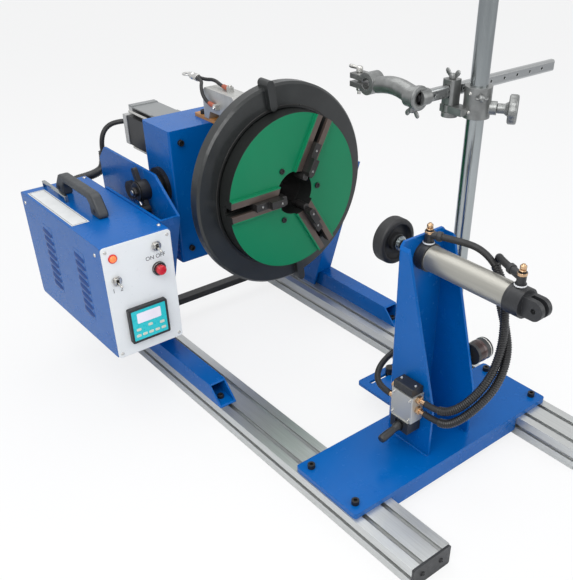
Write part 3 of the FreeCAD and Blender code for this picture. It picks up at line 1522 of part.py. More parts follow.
# ---------------------------------------------------------------- build
def build():
    parts = {}
    centre = rail_spacing / 2
    parts["rails"] = Part.makeCompound([rail(-centre), rail(centre)])
    parts["rail_end_caps"] = Part.makeCompound([end_cap(y, side) for y in (-centre, centre)
                                                for side in (-1, 1)])
    parts["base_beams"] = Part.makeCompound([base_beam(), mirror_y(base_beam())])
    parts["support_near"] = support()
    parts["support_far"] = mirror_y(support())
    parts["tie_bar"] = tie_bar()
    parts["head_housing"] = head_housing()
    parts["tilt_pins"] = Part.makeCompound([trunnion(), mirror_y(trunnion()), guide_pin()])
    parts["tilt_lock_lever"] = tilt_lock_lever()
    parts["motor"] = motor()
    parts["spindle"] = spindle()
    parts["chuck_body"] = chuck_body()
    parts["scroll_ring"] = scroll_ring()
    for number, angle in enumerate(jaw_angles, 1):
        parts["jaw_%d" % number] = jaw(angle)
    parts["brush_plate"] = brush_plate()
    parts["brush_holder"] = Part.makeCompound([brush_block(), brush_carbon()])
    parts["ground_leads"] = ground_leads()
    parts["control_box"] = control_box()
    parts["control_panel"] = control_panel()
    parts["carry_handle"] = carry_handle()
    parts["lid_strap"] = strap()
    parts["pilot_lamp"] = pilot_lamp()
    parts["panel_fittings"] = Part.makeCompound([toggle_bush(power_spot),
                                                 toggle_bush(mode_spot), stop_bezel()])
    parts["power_switch_lever"] = toggle_lever(power_spot)
    parts["mode_switch_lever"] = toggle_lever(mode_spot)
    parts["stop_button"] = stop_button()
    parts["display_unit"] = display_unit()
    parts["conduit_elbow"] = conduit_elbow()
    parts["tail_plate"] = tail_plate()
    parts["tail_keel"] = keel()
    parts["tail_tower"] = tower()
    parts["tail_screws"] = Part.makeCompound([clamp_screw(x, y) for x, y in clamp_spots()])
    parts["cylinder_caps"] = cylinder_caps()
    parts["cylinder_barrel"] = cylinder_barrel()
    parts["piston_rod"] = piston_rod()
    parts["pressing_pad"] = pressing_pad()
    parts["port_elbows"] = Part.makeCompound([port_elbow(front_port_x, front_arm),
                                              port_elbow(rear_port_x, rear_arm)])
    parts["needle_front"] = needle_screw(front_port_x)
    parts["needle_rear"] = needle_screw(rear_port_x)
    parts["hand_valve"] = hand_valve()
    parts["valve_lever"] = valve_lever()
    parts["valve_fittings"] = valve_fittings()
    parts["air_filter"] = air_filter()
    parts["stand_plate"] = stand_plate()
    parts["slot_knob"] = slot_knob()
    parts["torch_column"] = column()
    parts["height_sleeve"] = sleeve()
    parts["height_knob"] = sleeve_knob()
    parts["bar_bracket"] = bar_bracket()
    parts["bracket_wing_screw"] = wing_screw(bar_z + bar_height / 2 + 8, bar_x, bracket_y)
    parts["cross_bar"] = cross_bar()
    parts["torch_holder"] = torch_holder()
    parts["torch_clamp_bolt"] = torch_wing_bolt()
    parts["socket_wing_screw"] = socket_wing_screw()
    parts["hose_front"] = cord(hose_front_route, hose_diameter, "hose_front")
    parts["hose_rear"] = cord(hose_rear_route, hose_diameter, "hose_rear")
    parts["hose_supply"] = cord(hose_supply_route, hose_diameter, "hose_supply")
    parts["motor_cable"] = cord(motor_cable_route, cable_diameter, "motor_cable")
    return parts


def main():
    os.makedirs("parts", exist_ok=True)
    for name, shape in build().items():
        shape.exportStep("parts/%s.step" % name)


if __name__ == "__main__":
    main()
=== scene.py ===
import bpy
import bmesh
import math
from mathutils import Matrix, Vector


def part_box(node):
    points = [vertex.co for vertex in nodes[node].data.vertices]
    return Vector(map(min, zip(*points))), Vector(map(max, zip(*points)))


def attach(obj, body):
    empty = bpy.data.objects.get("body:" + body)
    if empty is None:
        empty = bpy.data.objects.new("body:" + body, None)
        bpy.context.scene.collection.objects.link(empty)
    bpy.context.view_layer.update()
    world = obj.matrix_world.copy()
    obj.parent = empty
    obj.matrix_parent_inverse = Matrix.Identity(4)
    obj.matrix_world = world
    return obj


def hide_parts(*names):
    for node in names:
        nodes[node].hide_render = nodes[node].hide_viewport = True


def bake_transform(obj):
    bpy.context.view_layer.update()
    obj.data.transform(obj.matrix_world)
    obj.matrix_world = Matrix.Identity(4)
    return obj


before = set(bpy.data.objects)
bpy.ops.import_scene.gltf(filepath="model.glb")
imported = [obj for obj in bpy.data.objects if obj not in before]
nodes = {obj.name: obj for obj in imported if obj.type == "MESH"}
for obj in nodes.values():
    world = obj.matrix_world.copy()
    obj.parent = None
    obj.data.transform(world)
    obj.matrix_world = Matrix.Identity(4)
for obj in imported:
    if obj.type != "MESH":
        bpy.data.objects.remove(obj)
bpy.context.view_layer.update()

scene = bpy.context.scene

# Places are in metres. Profiles of turned pieces, screw heads and cord routes are in millimetres.
MM = 0.001
AXIS = 0.376  # height of the spindle and cylinder axis
CHUCK_FACE = -0.076  # x of the chuck's front face
PANEL = -0.125  # x of the control panel's outer face
LID_TOP = 0.355  # height of the control box
PLATE_TOP = 0.05  # height of the tailstock's floor plate
JAW_ANGLES = (61, 181, 301)  # degrees about the spindle, from +Y towards +Z
MOTOR_Y, MOTOR_Z, MOTOR_BACK = -0.112, 0.442, -0.413
PORT_X = {"front": 0.261, "rear": 0.438}  # ports of the air cylinder
COLUMN_X, COLUMN_Y = 0.16, 0.2025  # torch column
HOLDER_Y, HOLDER_Z = 0.099, 0.57  # axis of the torch holder's socket
CLAMP_X = -0.016  # bolt of the torch clamp
TO_TAIL, TO_HEAD, NEAR, FAR, UP = (1, 0, 0), (-1, 0, 0), (0, -1, 0), (0, 1, 0), (0, 0, 1)


def add_object(name, data):
    obj = bpy.data.objects.new(name, data)
    scene.collection.objects.link(obj)
    return obj


def at(x, y, z):
    return Matrix.Translation((x, y, z))


def rotation(degrees, axis):
    return Matrix.Rotation(math.radians(degrees), 4, axis)


# An outline drawn in (x, y), turned to face the tailstock or stood up to face the near side.
FACE_TAIL = Matrix(((0, 0, 1, 0), (1, 0, 0, 0), (0, 1, 0, 0), (0, 0, 0, 1)))
FACE_NEAR = rotation(90, "X")


# ---------- camera
def add_camera():
    data = bpy.data.cameras.new("camera")
    cam = add_object("camera", data)
    yaw, pitch, roll = 49.484, -35.595, 0.446
    cam.matrix_world = (at(0.984, -0.816, 0.91) @ rotation(yaw, "Z") @ rotation(90 + pitch, "X")
                        @ rotation(roll, "Z"))
    data.sensor_fit = "HORIZONTAL"
    data.sensor_width = 36.0
    data.lens = 47.8
    data.shift_x = -0.0762
    data.shift_y = 0.1565
    scene.camera = cam


add_camera()


# ---------- shader nodes
def feed(owner, socket, value):
    """Link a socket where the value is another socket, and set it otherwise."""
    if isinstance(value, bpy.types.NodeSocket):
        owner.node_tree.links.new(value, socket)
    else:
        socket.default_value = value


def add_node(owner, kind, inputs=None, **settings):
    """A node of a material or a world, with its inputs fed."""
    node = owner.node_tree.nodes.new("ShaderNode" + kind)
    for name, value in settings.items():
        setattr(node, name, value)
    for key, value in (inputs or {}).items():
        feed(owner, node.inputs[key], value)
    return node


def noise(owner, vector, scale, detail=4.0, rough=0.55):
    return add_node(owner, "TexNoise", {"Vector": vector, "Scale": scale, "Detail": detail,
                                        "Roughness": rough}).outputs["Fac"]


def ramp(owner, value, low, high, first, last):
    return add_node(owner, "MapRange", {"Value": value, "From Min": low, "From Max": high,
                                        "To Min": first, "To Max": last}).outputs["Result"]


def mixed(owner, factor, first, last):
    """A blend of two colours, each a socket or three numbers."""
    colour_a, colour_b, result = 6, 7, 2
    first, last = ((*tone, 1) if isinstance(tone, tuple) else tone for tone in (first, last))
    return add_node(owner, "Mix", {"Factor": factor, colour_a: first, colour_b: last},
                    data_type="RGBA").outputs[result]


def maths(owner, operation, first, second=0.0):
    return add_node(owner, "Math", {0: first, 1: second}, operation=operation).outputs[0]


def sum_of_products(owner, a, b, c, d):
    return maths(owner, "ADD", maths(owner, "MULTIPLY", a, b), maths(owner, "MULTIPLY", c, d))


def within(owner, value, low, high):
    return maths(owner, "MULTIPLY", maths(owner, "GREATER_THAN", value, low),
                 maths(owner, "LESS_THAN", value, high))


def split_place(owner):
    """The x, y and z of a point of the surface, in the frame."""
    where = add_node(owner, "TexCoord").outputs["Object"]
    return list(add_node(owner, "SeparateXYZ", {"Vector": where}).outputs)


def source(socket):
    """What feeds a socket: another socket, or its own value."""
    return socket.links[0].from_socket if socket.links else socket.default_value


# ---------- materials
def new_material(name):
    made = bpy.data.materials.new(name)
    made.use_nodes = True
    return made, made.node_tree.nodes["Principled BSDF"].inputs


def shade(colour, amount):
    return tuple(min(1.0, c * amount) for c in colour)


def finish(name, colour, rough, metal=0.0, vary=0.12, scale=18.0, stretch=(1, 1, 1),
           rough_vary=0.08, bump=0.0, bump_scale=900.0, coat=0.0, specular=0.5, round_edge=0.0008,
           patches=None, glow=None):
    """A surface with mottled colour and roughness, fine relief and softened edges."""
    made, shader = new_material(name)
    where = add_node(made, "TexCoord").outputs["Object"]
    vector = add_node(made, "Mapping", {"Vector": where, "Scale": stretch}).outputs["Vector"]
    cloud = ramp(made, noise(made, vector, scale), 0.3, 0.7, 0.0, 1.0)
    tone = mixed(made, cloud, shade(colour, 1 - vary), shade(colour, 1 + vary))
    if patches:
        patch_colour, share = patches
        patch = ramp(made, noise(made, where, 9.0, 6.0, 0.7), 0.56, 0.78, 0.0, share)
        tone = mixed(made, patch, tone, patch_colour)
    fine = noise(made, vector, scale * 7, 5.0)
    settings = {"Base Color": tone, "Metallic": metal, "Specular IOR Level": specular,
                "Roughness": ramp(made, fine, 0.3, 0.7, max(0.02, rough - rough_vary),
                                  rough + rough_vary),
                "Coat Weight": coat, "Coat Roughness": 0.06}
    if glow:
        glow_colour, strength = glow
        settings.update({"Emission Color": (*glow_colour, 1), "Emission Strength": strength})
    if round_edge:
        edge = add_node(made, "Bevel", {"Radius": round_edge}, samples=4)
        settings["Normal"] = edge.outputs["Normal"]
    if bump:
        relief = add_node(made, "Bump", {"Strength": bump, "Distance": 0.0004,
                                         "Height": noise(made, vector, bump_scale, 3.0)})
        if round_edge:
            feed(made, relief.inputs["Normal"], settings["Normal"])
        settings["Normal"] = relief.outputs["Normal"]
    for key, value in settings.items():
        feed(made, shader[key], value)
    return made


def paint_where(made, mask, colour, rough, metal):
    """Give the masked part of a material another colour, roughness and metalness."""
    shader = made.node_tree.nodes["Principled BSDF"].inputs
    feed(made, shader["Base Color"], mixed(made, mask, source(shader["Base Color"]), colour))
    for key, value in (("Metallic", metal), ("Roughness", rough)):
        blend = add_node(made, "Mix", {"Factor": mask, "A": source(shader[key]), "B": value})
        feed(made, shader[key], blend.outputs["Result"])


def zoned(name, base, axis, low, high, colour, rough, metal):
    """A copy of a material with a band along one axis in another finish."""
    made = base.copy()
    made.name = name
    paint_where(made, within(made, split_place(made)["xyz".index(axis)], low, high),
                colour, rough, metal)
    return made


BLUE = (0.0, 0.108, 0.4)
blue = finish("blue_paint", BLUE, 0.25, vary=0.05, scale=7.0, rough_vary=0.04, specular=0.24,
              bump=0.05, bump_scale=160.0, round_edge=0.0012,
              patches=((0.004, 0.15, 0.47), 0.2))
# Darker copy of the box's blue for the louvre hoods: painted shade on the same paint.
louvre_shaded_blue = finish("louvre_shaded_blue", (0.0, 0.045, 0.22), 0.34, vary=0.08, round_edge=0)
aluminium = finish("rail_aluminium", (0.6, 0.61, 0.6), 0.36, 0.85, 0.07, 30.0, (0.4, 14, 14),
                   bump=0.1, bump_scale=60.0)
barrel_metal = finish("barrel_metal", (0.4, 0.39, 0.35), 0.4, 0.75, 0.05, 30.0, (0.5, 12, 12),
                      round_edge=0)
plastic = finish("black_plastic", (0.02, 0.021, 0.023), 0.42, vary=0.18, bump=0.25)
handle_grey = finish("handle_grey", (0.04, 0.044, 0.047), 0.45, vary=0.12, bump=0.35,
                     bump_scale=600.0, round_edge=0)
oxide = finish("black_oxide", (0.018, 0.018, 0.019), 0.38, 0.35, 0.25, bump=0.15)
bright = finish("brushed_cap", (0.58, 0.58, 0.57), 0.32, 0.85, 0.06, 30.0, (1, 10, 10))
dark_steel = finish("dark_steel", (0.045, 0.043, 0.042), 0.34, 0.6, 0.22, bump=0.12)
# Near black that stands for the shade inside a bore: painted shade.
bore_shade = finish("bore_shade", (0.01, 0.01, 0.011), 0.7, vary=0.3, round_edge=0)
black_paint = finish("black_paint", (0.016, 0.018, 0.018), 0.36, vary=0.22, coat=0.15, bump=0.1,
                     bump_scale=300.0, round_edge=0.0014)
cast = finish("cast_grey", (0.5, 0.5, 0.48), 0.48, 0.6, 0.12, 60.0, bump=0.55, bump_scale=700.0,
              round_edge=0.0016)
bakelite = finish("bakelite", (0.46, 0.21, 0.06), 0.4, vary=0.22, scale=26.0, stretch=(1, 8, 8),
                  bump=0.15)
panel_white = finish("panel_white", (0.8, 0.82, 0.83), 0.34, vary=0.02, round_edge=0.0006)
label_white = finish("label_blank", (0.7, 0.71, 0.7), 0.42, vary=0.05, scale=60.0, round_edge=0)
white_ring = finish("white_ring", (0.72, 0.73, 0.74), 0.35, vary=0.06, round_edge=0)
key_white = finish("key_white", (0.66, 0.68, 0.56), 0.38, vary=0.06, round_edge=0)
ink = finish("ink", (0.03, 0.03, 0.035), 0.5, vary=0.2, round_edge=0)
chrome = finish("chrome", (0.36, 0.385, 0.39), 0.2, 1.0, 0.05, 14.0, (8, 8, 0.4), 0.05)
chrome_bar = finish("chrome_bar", (0.46, 0.47, 0.47), 0.2, 1.0, 0.05, 14.0, (8, 0.4, 8), 0.05,
                    round_edge=0.0012)
nickel = finish("nickel_casting", (0.25, 0.255, 0.25), 0.36, 0.8, 0.2, 50.0, bump=0.45,
                bump_scale=420.0, round_edge=0.0014)
brass = finish("brass", (0.6, 0.4, 0.24), 0.26, 0.95, 0.1, 80.0)
rubber = finish("rubber", (0.016, 0.016, 0.017), 0.55, vary=0.2, bump=0.35)
sheath_black = finish("sheath_black", (0.014, 0.014, 0.015), 0.34, vary=0.2, round_edge=0)
red_plastic = finish("red_plastic", (0.6, 0.012, 0.025), 0.22, vary=0.06, coat=0.3)
red_band = finish("filter_band", (0.045, 0.01, 0.008), 0.14, vary=0.2, coat=0.6, round_edge=0)
lamp_glass = finish("lamp_lens", (0.85, 0.17, 0.04), 0.12, vary=0.25, scale=120.0, coat=0.5,
                    glow=((1.0, 0.22, 0.06), 0.5), round_edge=0)
cyan = finish("display_face", (0.01, 0.42, 0.47), 0.3, vary=0.1, scale=30.0, coat=0.2,
              glow=((0.02, 0.5, 0.55), 0.25), round_edge=0)
screen = finish("display_screen", (0.7, 0.66, 0.74), 0.18, vary=0.05, coat=0.4,
                glow=((0.75, 0.72, 0.8), 0.25), round_edge=0)
jaw_bright = finish("jaw_screw", (0.3, 0.3, 0.29), 0.25, 0.95, 0.08, 90.0)
zinc = finish("zinc_screw", (0.62, 0.61, 0.58), 0.25, 0.95, 0.08, 90.0)
copper = finish("shrink_sleeve", (0.42, 0.1, 0.05), 0.42, vary=0.2, bump=0.3)
tin = finish("tinned_lug", (0.66, 0.65, 0.63), 0.24, 0.95, 0.08, 90.0)


def chuck_material():
    """Green face, machined ways beside the slots, an oiled black side wall and back, and painted
    shade in the bore.
    """
    made = finish("chuck_green", (0.002, 0.205, 0.088), 0.34, vary=0.06, scale=7.0,
                  rough_vary=0.05, specular=0.28, bump=0.05, bump_scale=160.0,
                  round_edge=0.0012)
    way_half_width, rim_radius, bore_radius = 0.0182, 0.1426, 0.0402
    x, y, z = split_place(made)
    height = maths(made, "SUBTRACT", z, AXIS)
    radius = maths(made, "SQRT", sum_of_products(made, y, y, height, height))
    for angle in JAW_ANGLES:
        c, s = math.cos(math.radians(angle)), math.sin(math.radians(angle))
        along = sum_of_products(made, y, c, height, s)
        across = maths(made, "ABSOLUTE", sum_of_products(made, height, c, y, -s))
        way = maths(made, "MULTIPLY", maths(made, "GREATER_THAN", along, 0.0),
                    maths(made, "LESS_THAN", across, way_half_width))
        paint_where(made, way, (0.135, 0.105, 0.09), 0.34, 0.55)
    # Near black on the side wall, the back and the outer rim; inside the bore the same near black
    # is painted shade.
    black_wall_and_bore_shade = maths(made, "LESS_THAN", x, CHUCK_FACE - 0.0004)
    black_wall_and_bore_shade = maths(made, "MAXIMUM", black_wall_and_bore_shade, maths(made, "GREATER_THAN", radius, rim_radius))
    black_wall_and_bore_shade = maths(made, "MAXIMUM", black_wall_and_bore_shade, maths(made, "LESS_THAN", radius, bore_radius))
    paint_where(made, black_wall_and_bore_shade, (0.02, 0.022, 0.021), 0.36, 0.2)
    return made


chuck_green = chuck_material()
motor_with_top_highlight = zoned("motor_metal", bright, "x", -0.399, -0.325, (0.016, 0.017, 0.018), 0.32, 0.2)
# A lighter grey strip along the top of the motor is a painted highlight: the sky's reflection
# painted into the colour.
paint_where(motor_with_top_highlight, within(motor_with_top_highlight, split_place(motor_with_top_highlight)[2], 0.4815, 0.486),
            (0.3, 0.31, 0.31), 0.36, 0.5)
valve_mixed = zoned("valve_cast", plastic, "z", 0.1199, 0.1721, (0.5, 0.5, 0.48), 0.42, 0.6)
bar_mixed = zoned("bar_chrome", chrome_bar, "y", 0.0, 0.1165, (0.008, 0.008, 0.009), 0.7, 0.0)
column_mixed = zoned("column_chrome", chrome, "z", 0.0, 0.0801, BLUE, 0.3, 0.0)
sleeve_black = zoned("filter_plastic", plastic, "y", 0.066, 0.078, (0.03, 0.012, 0.01), 0.18,
                     0.1)

NODE_FINISH = (
    (aluminium, "rails"),
    (blue, "base_beams support_near support_far head_housing control_box tail_plate tail_keel "
           "tail_tower stand_plate"),
    (plastic, "rail_end_caps carry_handle display_unit cylinder_caps port_elbows valve_lever"),
    (oxide, "tie_bar tilt_pins tilt_lock_lever tail_screws slot_knob"),
    (motor_with_top_highlight, "motor"), (chuck_green, "chuck_body"), (black_paint, "scroll_ring"),
    (dark_steel, "spindle jaw_1 jaw_2 jaw_3"), (bakelite, "brush_plate"), (cast, "brush_holder"),
    (rubber, "ground_leads motor_cable conduit_elbow pressing_pad hose_front hose_rear "
             "hose_supply"),
    (panel_white, "control_panel"), (chrome, "lid_strap piston_rod"),
    (red_plastic, "pilot_lamp stop_button"),
    (zinc, "panel_fittings power_switch_lever mode_switch_lever"),
    (barrel_metal, "cylinder_barrel"), (brass, "needle_front needle_rear valve_fittings"),
    (valve_mixed, "hand_valve"), (sleeve_black, "air_filter"), (column_mixed, "torch_column"),
    (bar_mixed, "cross_bar"),
    (nickel, "height_sleeve height_knob bar_bracket bracket_wing_screw torch_holder "
             "torch_clamp_bolt socket_wing_screw"))
for node_finish, node_names in NODE_FINISH:
    for node_name in node_names.split():
        cad = nodes[node_name]
        cad.data.materials.clear()
        cad.data.materials.append(node_finish)


# ---------- mesh helpers
def dress(obj, made, body):
    """Give a piece its material and its body."""
    obj.data.materials.append(made)
    if body:
        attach(obj, body)


def to_mesh(name, built):
    mesh = bpy.data.meshes.new(name)
    bmesh.ops.remove_doubles(built, verts=built.verts, dist=1e-6)
    bmesh.ops.recalc_face_normals(built, faces=built.faces)
    built.to_mesh(mesh)
    built.free()
    return mesh


def place(name, built, made, body, bevel=0.0, segments=2, smooth=True):
    """Make a piece of a finished bmesh."""
    obj = add_object(name, to_mesh(name, built))
    if bevel:
        edge = obj.modifiers.new("edges", "BEVEL")
        edge.width = bevel
        edge.segments = segments
        edge.limit_method = "ANGLE"
        edge.angle_limit = math.radians(35)
    if smooth:
        for face in obj.data.polygons:
            face.use_smooth = True
        obj.modifiers.new("normals", "WEIGHTED_NORMAL")
    dress(obj, made, body)
    return obj


def axis_matrix(point, direction):
    turn = Vector(direction).normalized().to_track_quat("Z", "Y").to_matrix().to_4x4()
    return Matrix.Translation(point) @ turn


def angles(sides):
    return [2 * math.pi * n / sides for n in range(sides)]


def skin(built, rings):
    """Join each ring of vertices to the next; a ring of one vertex is a pole."""
    for low, high in zip(rings, rings[1:]):
        count = max(len(low), len(high))
        for n in range(count):
            m = (n + 1) % count
            corners = list(dict.fromkeys([low[n % len(low)], low[m % len(low)],
                                          high[m % len(high)], high[n % len(high)]]))
            if len(corners) > 2:
                built.faces.new(corners)


def lathe(built, profile, matrix, sides=48, shape=None):
    """Turn (radius, height) points in mm about the matrix's Z axis.

    shape(radius, step, n, a) gives the radius of side n, at angle a, on a step of the profile.
    """
    rings = []
    for step, (radius, height) in enumerate(profile):
        spots = [(0, 0)]
        if radius:
            reaches = [(shape(radius, step, n, a) if shape else radius, a)
                       for n, a in enumerate(angles(sides))]
            spots = [(MM * reach * math.cos(a), MM * reach * math.sin(a)) for reach, a in reaches]
        rings.append([built.verts.new(matrix @ Vector((x, y, MM * height))) for x, y in spots])
    skin(built, rings)
    return rings


def turned(name, profile, point, direction, made, body, sides=48):
    built = bmesh.new()
    lathe(built, profile, axis_matrix(point, direction), sides)
    return place(name, built, made, body)


def prism(built, outline, depth, matrix):
    """Extrude an outline of (x, y) points along the matrix's Z axis."""
    low, high = [[built.verts.new(matrix @ Vector((x, y, z))) for x, y in outline]
                 for z in (0, depth)]
    built.faces.new(low[::-1])
    built.faces.new(high)
    skin(built, [low, high])


def extruded(name, outline, depth, matrix, made, body, bevel=0.0, segments=2):
    built = bmesh.new()
    prism(built, outline, depth, matrix)
    return place(name, built, made, body, bevel, segments)


def hexagon(radius):
    return [(radius * math.cos(a), radius * math.sin(a)) for a in angles(6)]


def rectangle(x0, y0, x1, y1):
    return [(x0, y0), (x1, y0), (x1, y1), (x0, y1)]


def rounded_rectangle(width, height, radius, steps=5):
    outline = []
    for cx, cy, first in ((1, 1, 0), (-1, 1, 90), (-1, -1, 180), (1, -1, 270)):
        for n in range(steps + 1):
            a = math.radians(first + 90 * n / steps)
            outline.append((cx * (width / 2 - radius) + radius * math.cos(a),
                            cy * (height / 2 - radius) + radius * math.sin(a)))
    return outline


def socket_screw(built, point, direction, radius, height):
    """Cap screw head with a chamfer, a knurled wall and a sunk hexagon socket."""
    knurled_steps, hexagon_steps = (0, 1), (4, 5)

    def wall(reach, step, n, a):
        if step in knurled_steps:
            return reach * (1.0 if n % 2 else 0.965)
        if step in hexagon_steps:
            return reach / max(math.cos((a % (math.pi / 3)) - math.pi / 6), 0.8)
        return reach
    lathe(built, [(radius, 0), (radius, height * 0.86), (radius * 0.9, height),
                  (radius * 0.58, height), (radius * 0.52, height * 0.96),
                  (radius * 0.5, height * 0.35), (0, height * 0.3)],
          axis_matrix(point, direction), 36, wall)


def pan_screw(built, point, direction, radius):
    """Domed head with a round recess."""
    lathe(built, [(radius, 0), (radius, radius * 0.25), (radius * 0.8, radius * 0.5),
                  (radius * 0.42, radius * 0.62), (radius * 0.36, radius * 0.3),
                  (0, radius * 0.22)], axis_matrix(point, direction), 20)


def screws(name, spots, made, body, kind=socket_screw):
    """One piece of several heads; a spot is place, direction and the head's sizes in mm."""
    built = bmesh.new()
    for spot in spots:
        kind(built, *spot)
    return place(name, built, made, body)


# ---------- cords
def metres(route):
    return [tuple(value / 1000 for value in point) for point in route]


def route_line(name, route):
    """Points along the smooth line that a route of control points gives."""
    curve = bpy.data.curves.new(name, "CURVE")
    curve.dimensions = "3D"
    spline = curve.splines.new("NURBS")
    spline.points.add(len(route) - 1)
    for target, point in zip(spline.points, route):
        target.co = (*point, 1)
    spline.order_u = 3
    spline.use_endpoint_u = True
    spline.resolution_u = 24
    holder = add_object(name, curve)
    bpy.context.view_layer.update()
    line = bpy.data.meshes.new_from_object(holder)
    points = [v.co.copy() for v in line.vertices]
    bpy.data.objects.remove(holder)
    bpy.data.meshes.remove(line)
    return points


def spaced(points, step):
    """The same line with points at even spacing, and its length."""
    marks = [0.0]
    for a, b in zip(points, points[1:]):
        marks.append(marks[-1] + (b - a).length)
    count = max(2, round(marks[-1] / step))
    found = []
    at = 0
    for n in range(count + 1):
        goal = marks[-1] * n / count
        while at < len(points) - 2 and marks[at + 1] < goal:
            at += 1
        span = marks[at + 1] - marks[at]
        share = (goal - marks[at]) / span if span else 0
        found.append(points[at].lerp(points[at + 1], min(1.0, share)))
    return found, marks[-1]


def ribbed(name, line, diameter, made, rib=0.0, sides=20, smooth=True):
    """A tube along points; every other point lies deeper by the depth of a rib."""
    built = bmesh.new()
    side = (line[1] - line[0]).normalized().orthogonal().normalized()
    rings = []
    for n, point in enumerate(line):
        ahead = (line[min(n + 1, len(line) - 1)] - line[max(n - 1, 0)]).normalized()
        side = (side - ahead * side.dot(ahead)).normalized()
        rise = ahead.cross(side)
        radius = diameter / 2 - (rib if n % 2 else 0.0)
        rings.append([built.verts.new(point + radius * (math.cos(a) * side + math.sin(a) * rise))
                      for a in angles(sides)])
    skin(built, rings)
    built.faces.new(rings[0][::-1])
    built.faces.new(rings[-1])
    return place(name, built, made, None, smooth=smooth)


def tube(name, route, diameter, made, rib=0.0, pitch=0.0024, sides=20):
    """A hose along a smooth route, with its line and its length."""
    line, length = spaced(route_line(name + ".line", route), pitch / 2 if rib else 0.004)
    return ribbed(name, line, diameter, made, rib, sides), line, length


HOSE = 0.011
CABLE = 0.01
ROUTES = {
    "hose_front": [(277, 6, 413), (309, 18, 413), (338, 31, 408), (366, 36, 390), (388, 36, 358),
                   (402, 28, 318), (418, 10, 280), (424, -14, 240), (414, -38, 204),
                   (394, -56, 176), (371, -66, 166), (343, -66, 166)],
    "hose_rear": [(412, 10, 411), (386, 20, 411), (364, 42, 403), (352, 58, 380), (354, 62, 350),
                  (370, 54, 322), (398, 38, 298), (426, 18, 268), (435, -10, 226),
                  (420, -42, 184), (396, -62, 153), (371, -66, 145), (343, -66, 145)],
    "hose_supply": [(263, -66, 142), (235, -66, 142), (208, -46, 148), (198, -14, 160),
                    (206, 26, 176), (232, 62, 192), (262, 74, 198), (292, 74, 198)],
    "motor_cable": [(-413, -112, 440), (-437, -112, 440), (-460, -132, 442), (-474, -162, 436),
                    (-474, -181, 412), (-474, -181, 386)],
    "conduit_elbow": [(-455, -261, 340), (-479, -261, 340), (-474, -201, 344), (-474, -181, 358),
                      (-474, -181, 386)],
    "upper_lead": [(-264, -66, 552), (-246, -66, 552), (-222, -61, 556), (-196, -62.5, 549.5),
                   (-176, -62.5, 549.5)],
    "lower_lead": [(-264, -72.2, 552), (-246, -72.2, 552), (-232, -84, 546), (-222, -88, 532),
                   (-208, -84.5, 520), (-190, -84.5, 520)]}


def air_hoses():
    """Three hoses; the two of the cylinder wear a ribbed sheath over their middle."""
    for name in ("hose_front", "hose_rear", "hose_supply"):
        route = metres(ROUTES[name])
        hose, line, length = tube(name + ".tube", route, HOSE, rubber, 0.0005)
        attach(hose, "tail")
        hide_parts(name)
        if name != "hose_supply":
            covered = line[round(len(line) * 0.24):round(len(line) * 0.93)]
            sheath = ribbed(name + ".sheath", spaced(covered, 0.0018)[0], 0.0148, sheath_black,
                            0.0012, 32, smooth=False)
            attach(sheath, "tail")


def motor_cable():
    """Cable from the tilting motor to the elbow on the control box."""
    route = metres(ROUTES["motor_cable"])
    cable, line, length = tube("motor_cable.tube", route, CABLE, rubber, 0.0004)
    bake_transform(cable)
    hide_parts("motor_cable")


def conduit_elbow():
    elbow = tube("conduit_elbow.tube", metres(ROUTES["conduit_elbow"]), 0.018, plastic, 0.0012,
                 0.0036, 28)[0]
    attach(elbow, "base")
    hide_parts("conduit_elbow")


def ground_lead(label):
    """Short lead with a shrink sleeve at the brush block."""
    lead, line, length = tube("lead." + label, metres(ROUTES[label + "_lead"]), 0.0062, rubber)
    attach(lead, "head")
    back = line[-6] - line[-1]
    sleeve = turned("lead_sleeve." + label, [(3.4, -2), (4.2, 0), (4.2, 13), (3.6, 16)],
                    line[-1] + back.normalized() * MM, back, copper, "head", 24)
    return [lead, sleeve]


def ring_lug():
    """Tinned ring terminal: flat eye with a hole, neck and crimped barrel."""
    built = bmesh.new()
    eye_z = 0.5505
    eye = at(-0.3, -0.069, eye_z)
    rings = lathe(built, [(5.2, 0), (9.6, 0), (10.0, 0.6), (10.0, 2.4), (9.6, 3.0), (5.2, 3.0),
                          (5.0, 1.5)], eye, 40)
    skin(built, [rings[-1], rings[0]])
    prism(built, [(-0.2915, -0.0735), (-0.2855, -0.0745), (-0.2855, -0.0635), (-0.2915, -0.0645)],
          0.003, at(0, 0, eye_z))
    lathe(built, [(0, 0), (4.8, 0), (6.2, 3), (6.4, 9), (5.0, 11), (5.0, 13), (6.4, 15),
                  (6.4, 25), (5.4, 25.5), (0, 25.5)],
          axis_matrix((-0.289, -0.069, 0.552), TO_TAIL), 32)
    return place("ring_lug", built, tin, "head", 0.0003)


air_hoses()
motor_cable()
conduit_elbow()
for piece in (*ground_lead("upper"), *ground_lead("lower"), ring_lug()):
    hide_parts("ground_leads")


# ---------- control box
panel_low, panel_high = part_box("control_panel")
mode_y = panel_low.y + 0.019  # the pilot lamp stands above the mode switch
power_y = panel_high.y - 0.031  # the stop button stands below the power switch
display_y, display_z = panel_low.y + 0.065, 0.198
LAMP_Z, STOP_Z = 0.333, 0.29
BUTTON_FACE = PANEL + 0.0083  # x of the stop button's collar and the display's glass
SWITCHES = {"power": (power_y, 0.333), "mode": (mode_y, 0.292)}


def toggle(label):
    """Bat-shaped toggle lever at its modelled tilt, with a pivot ball."""
    tilt = math.radians(-13)
    profile = [(0, -3), (1.7, -2.6), (2.2, 0), (2.0, 3), (1.5, 8), (1.8, 14), (2.3, 18),
               (2.3, 19.5), (1.6, 20.8), (0, 21.2)]
    lever = turned(label + "_toggle.lever", profile, (PANEL, *SWITCHES[label]),
                   (math.cos(tilt), 0, math.sin(tilt)), zinc, label + "_lever", 28)
    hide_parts(label + "_switch_lever")


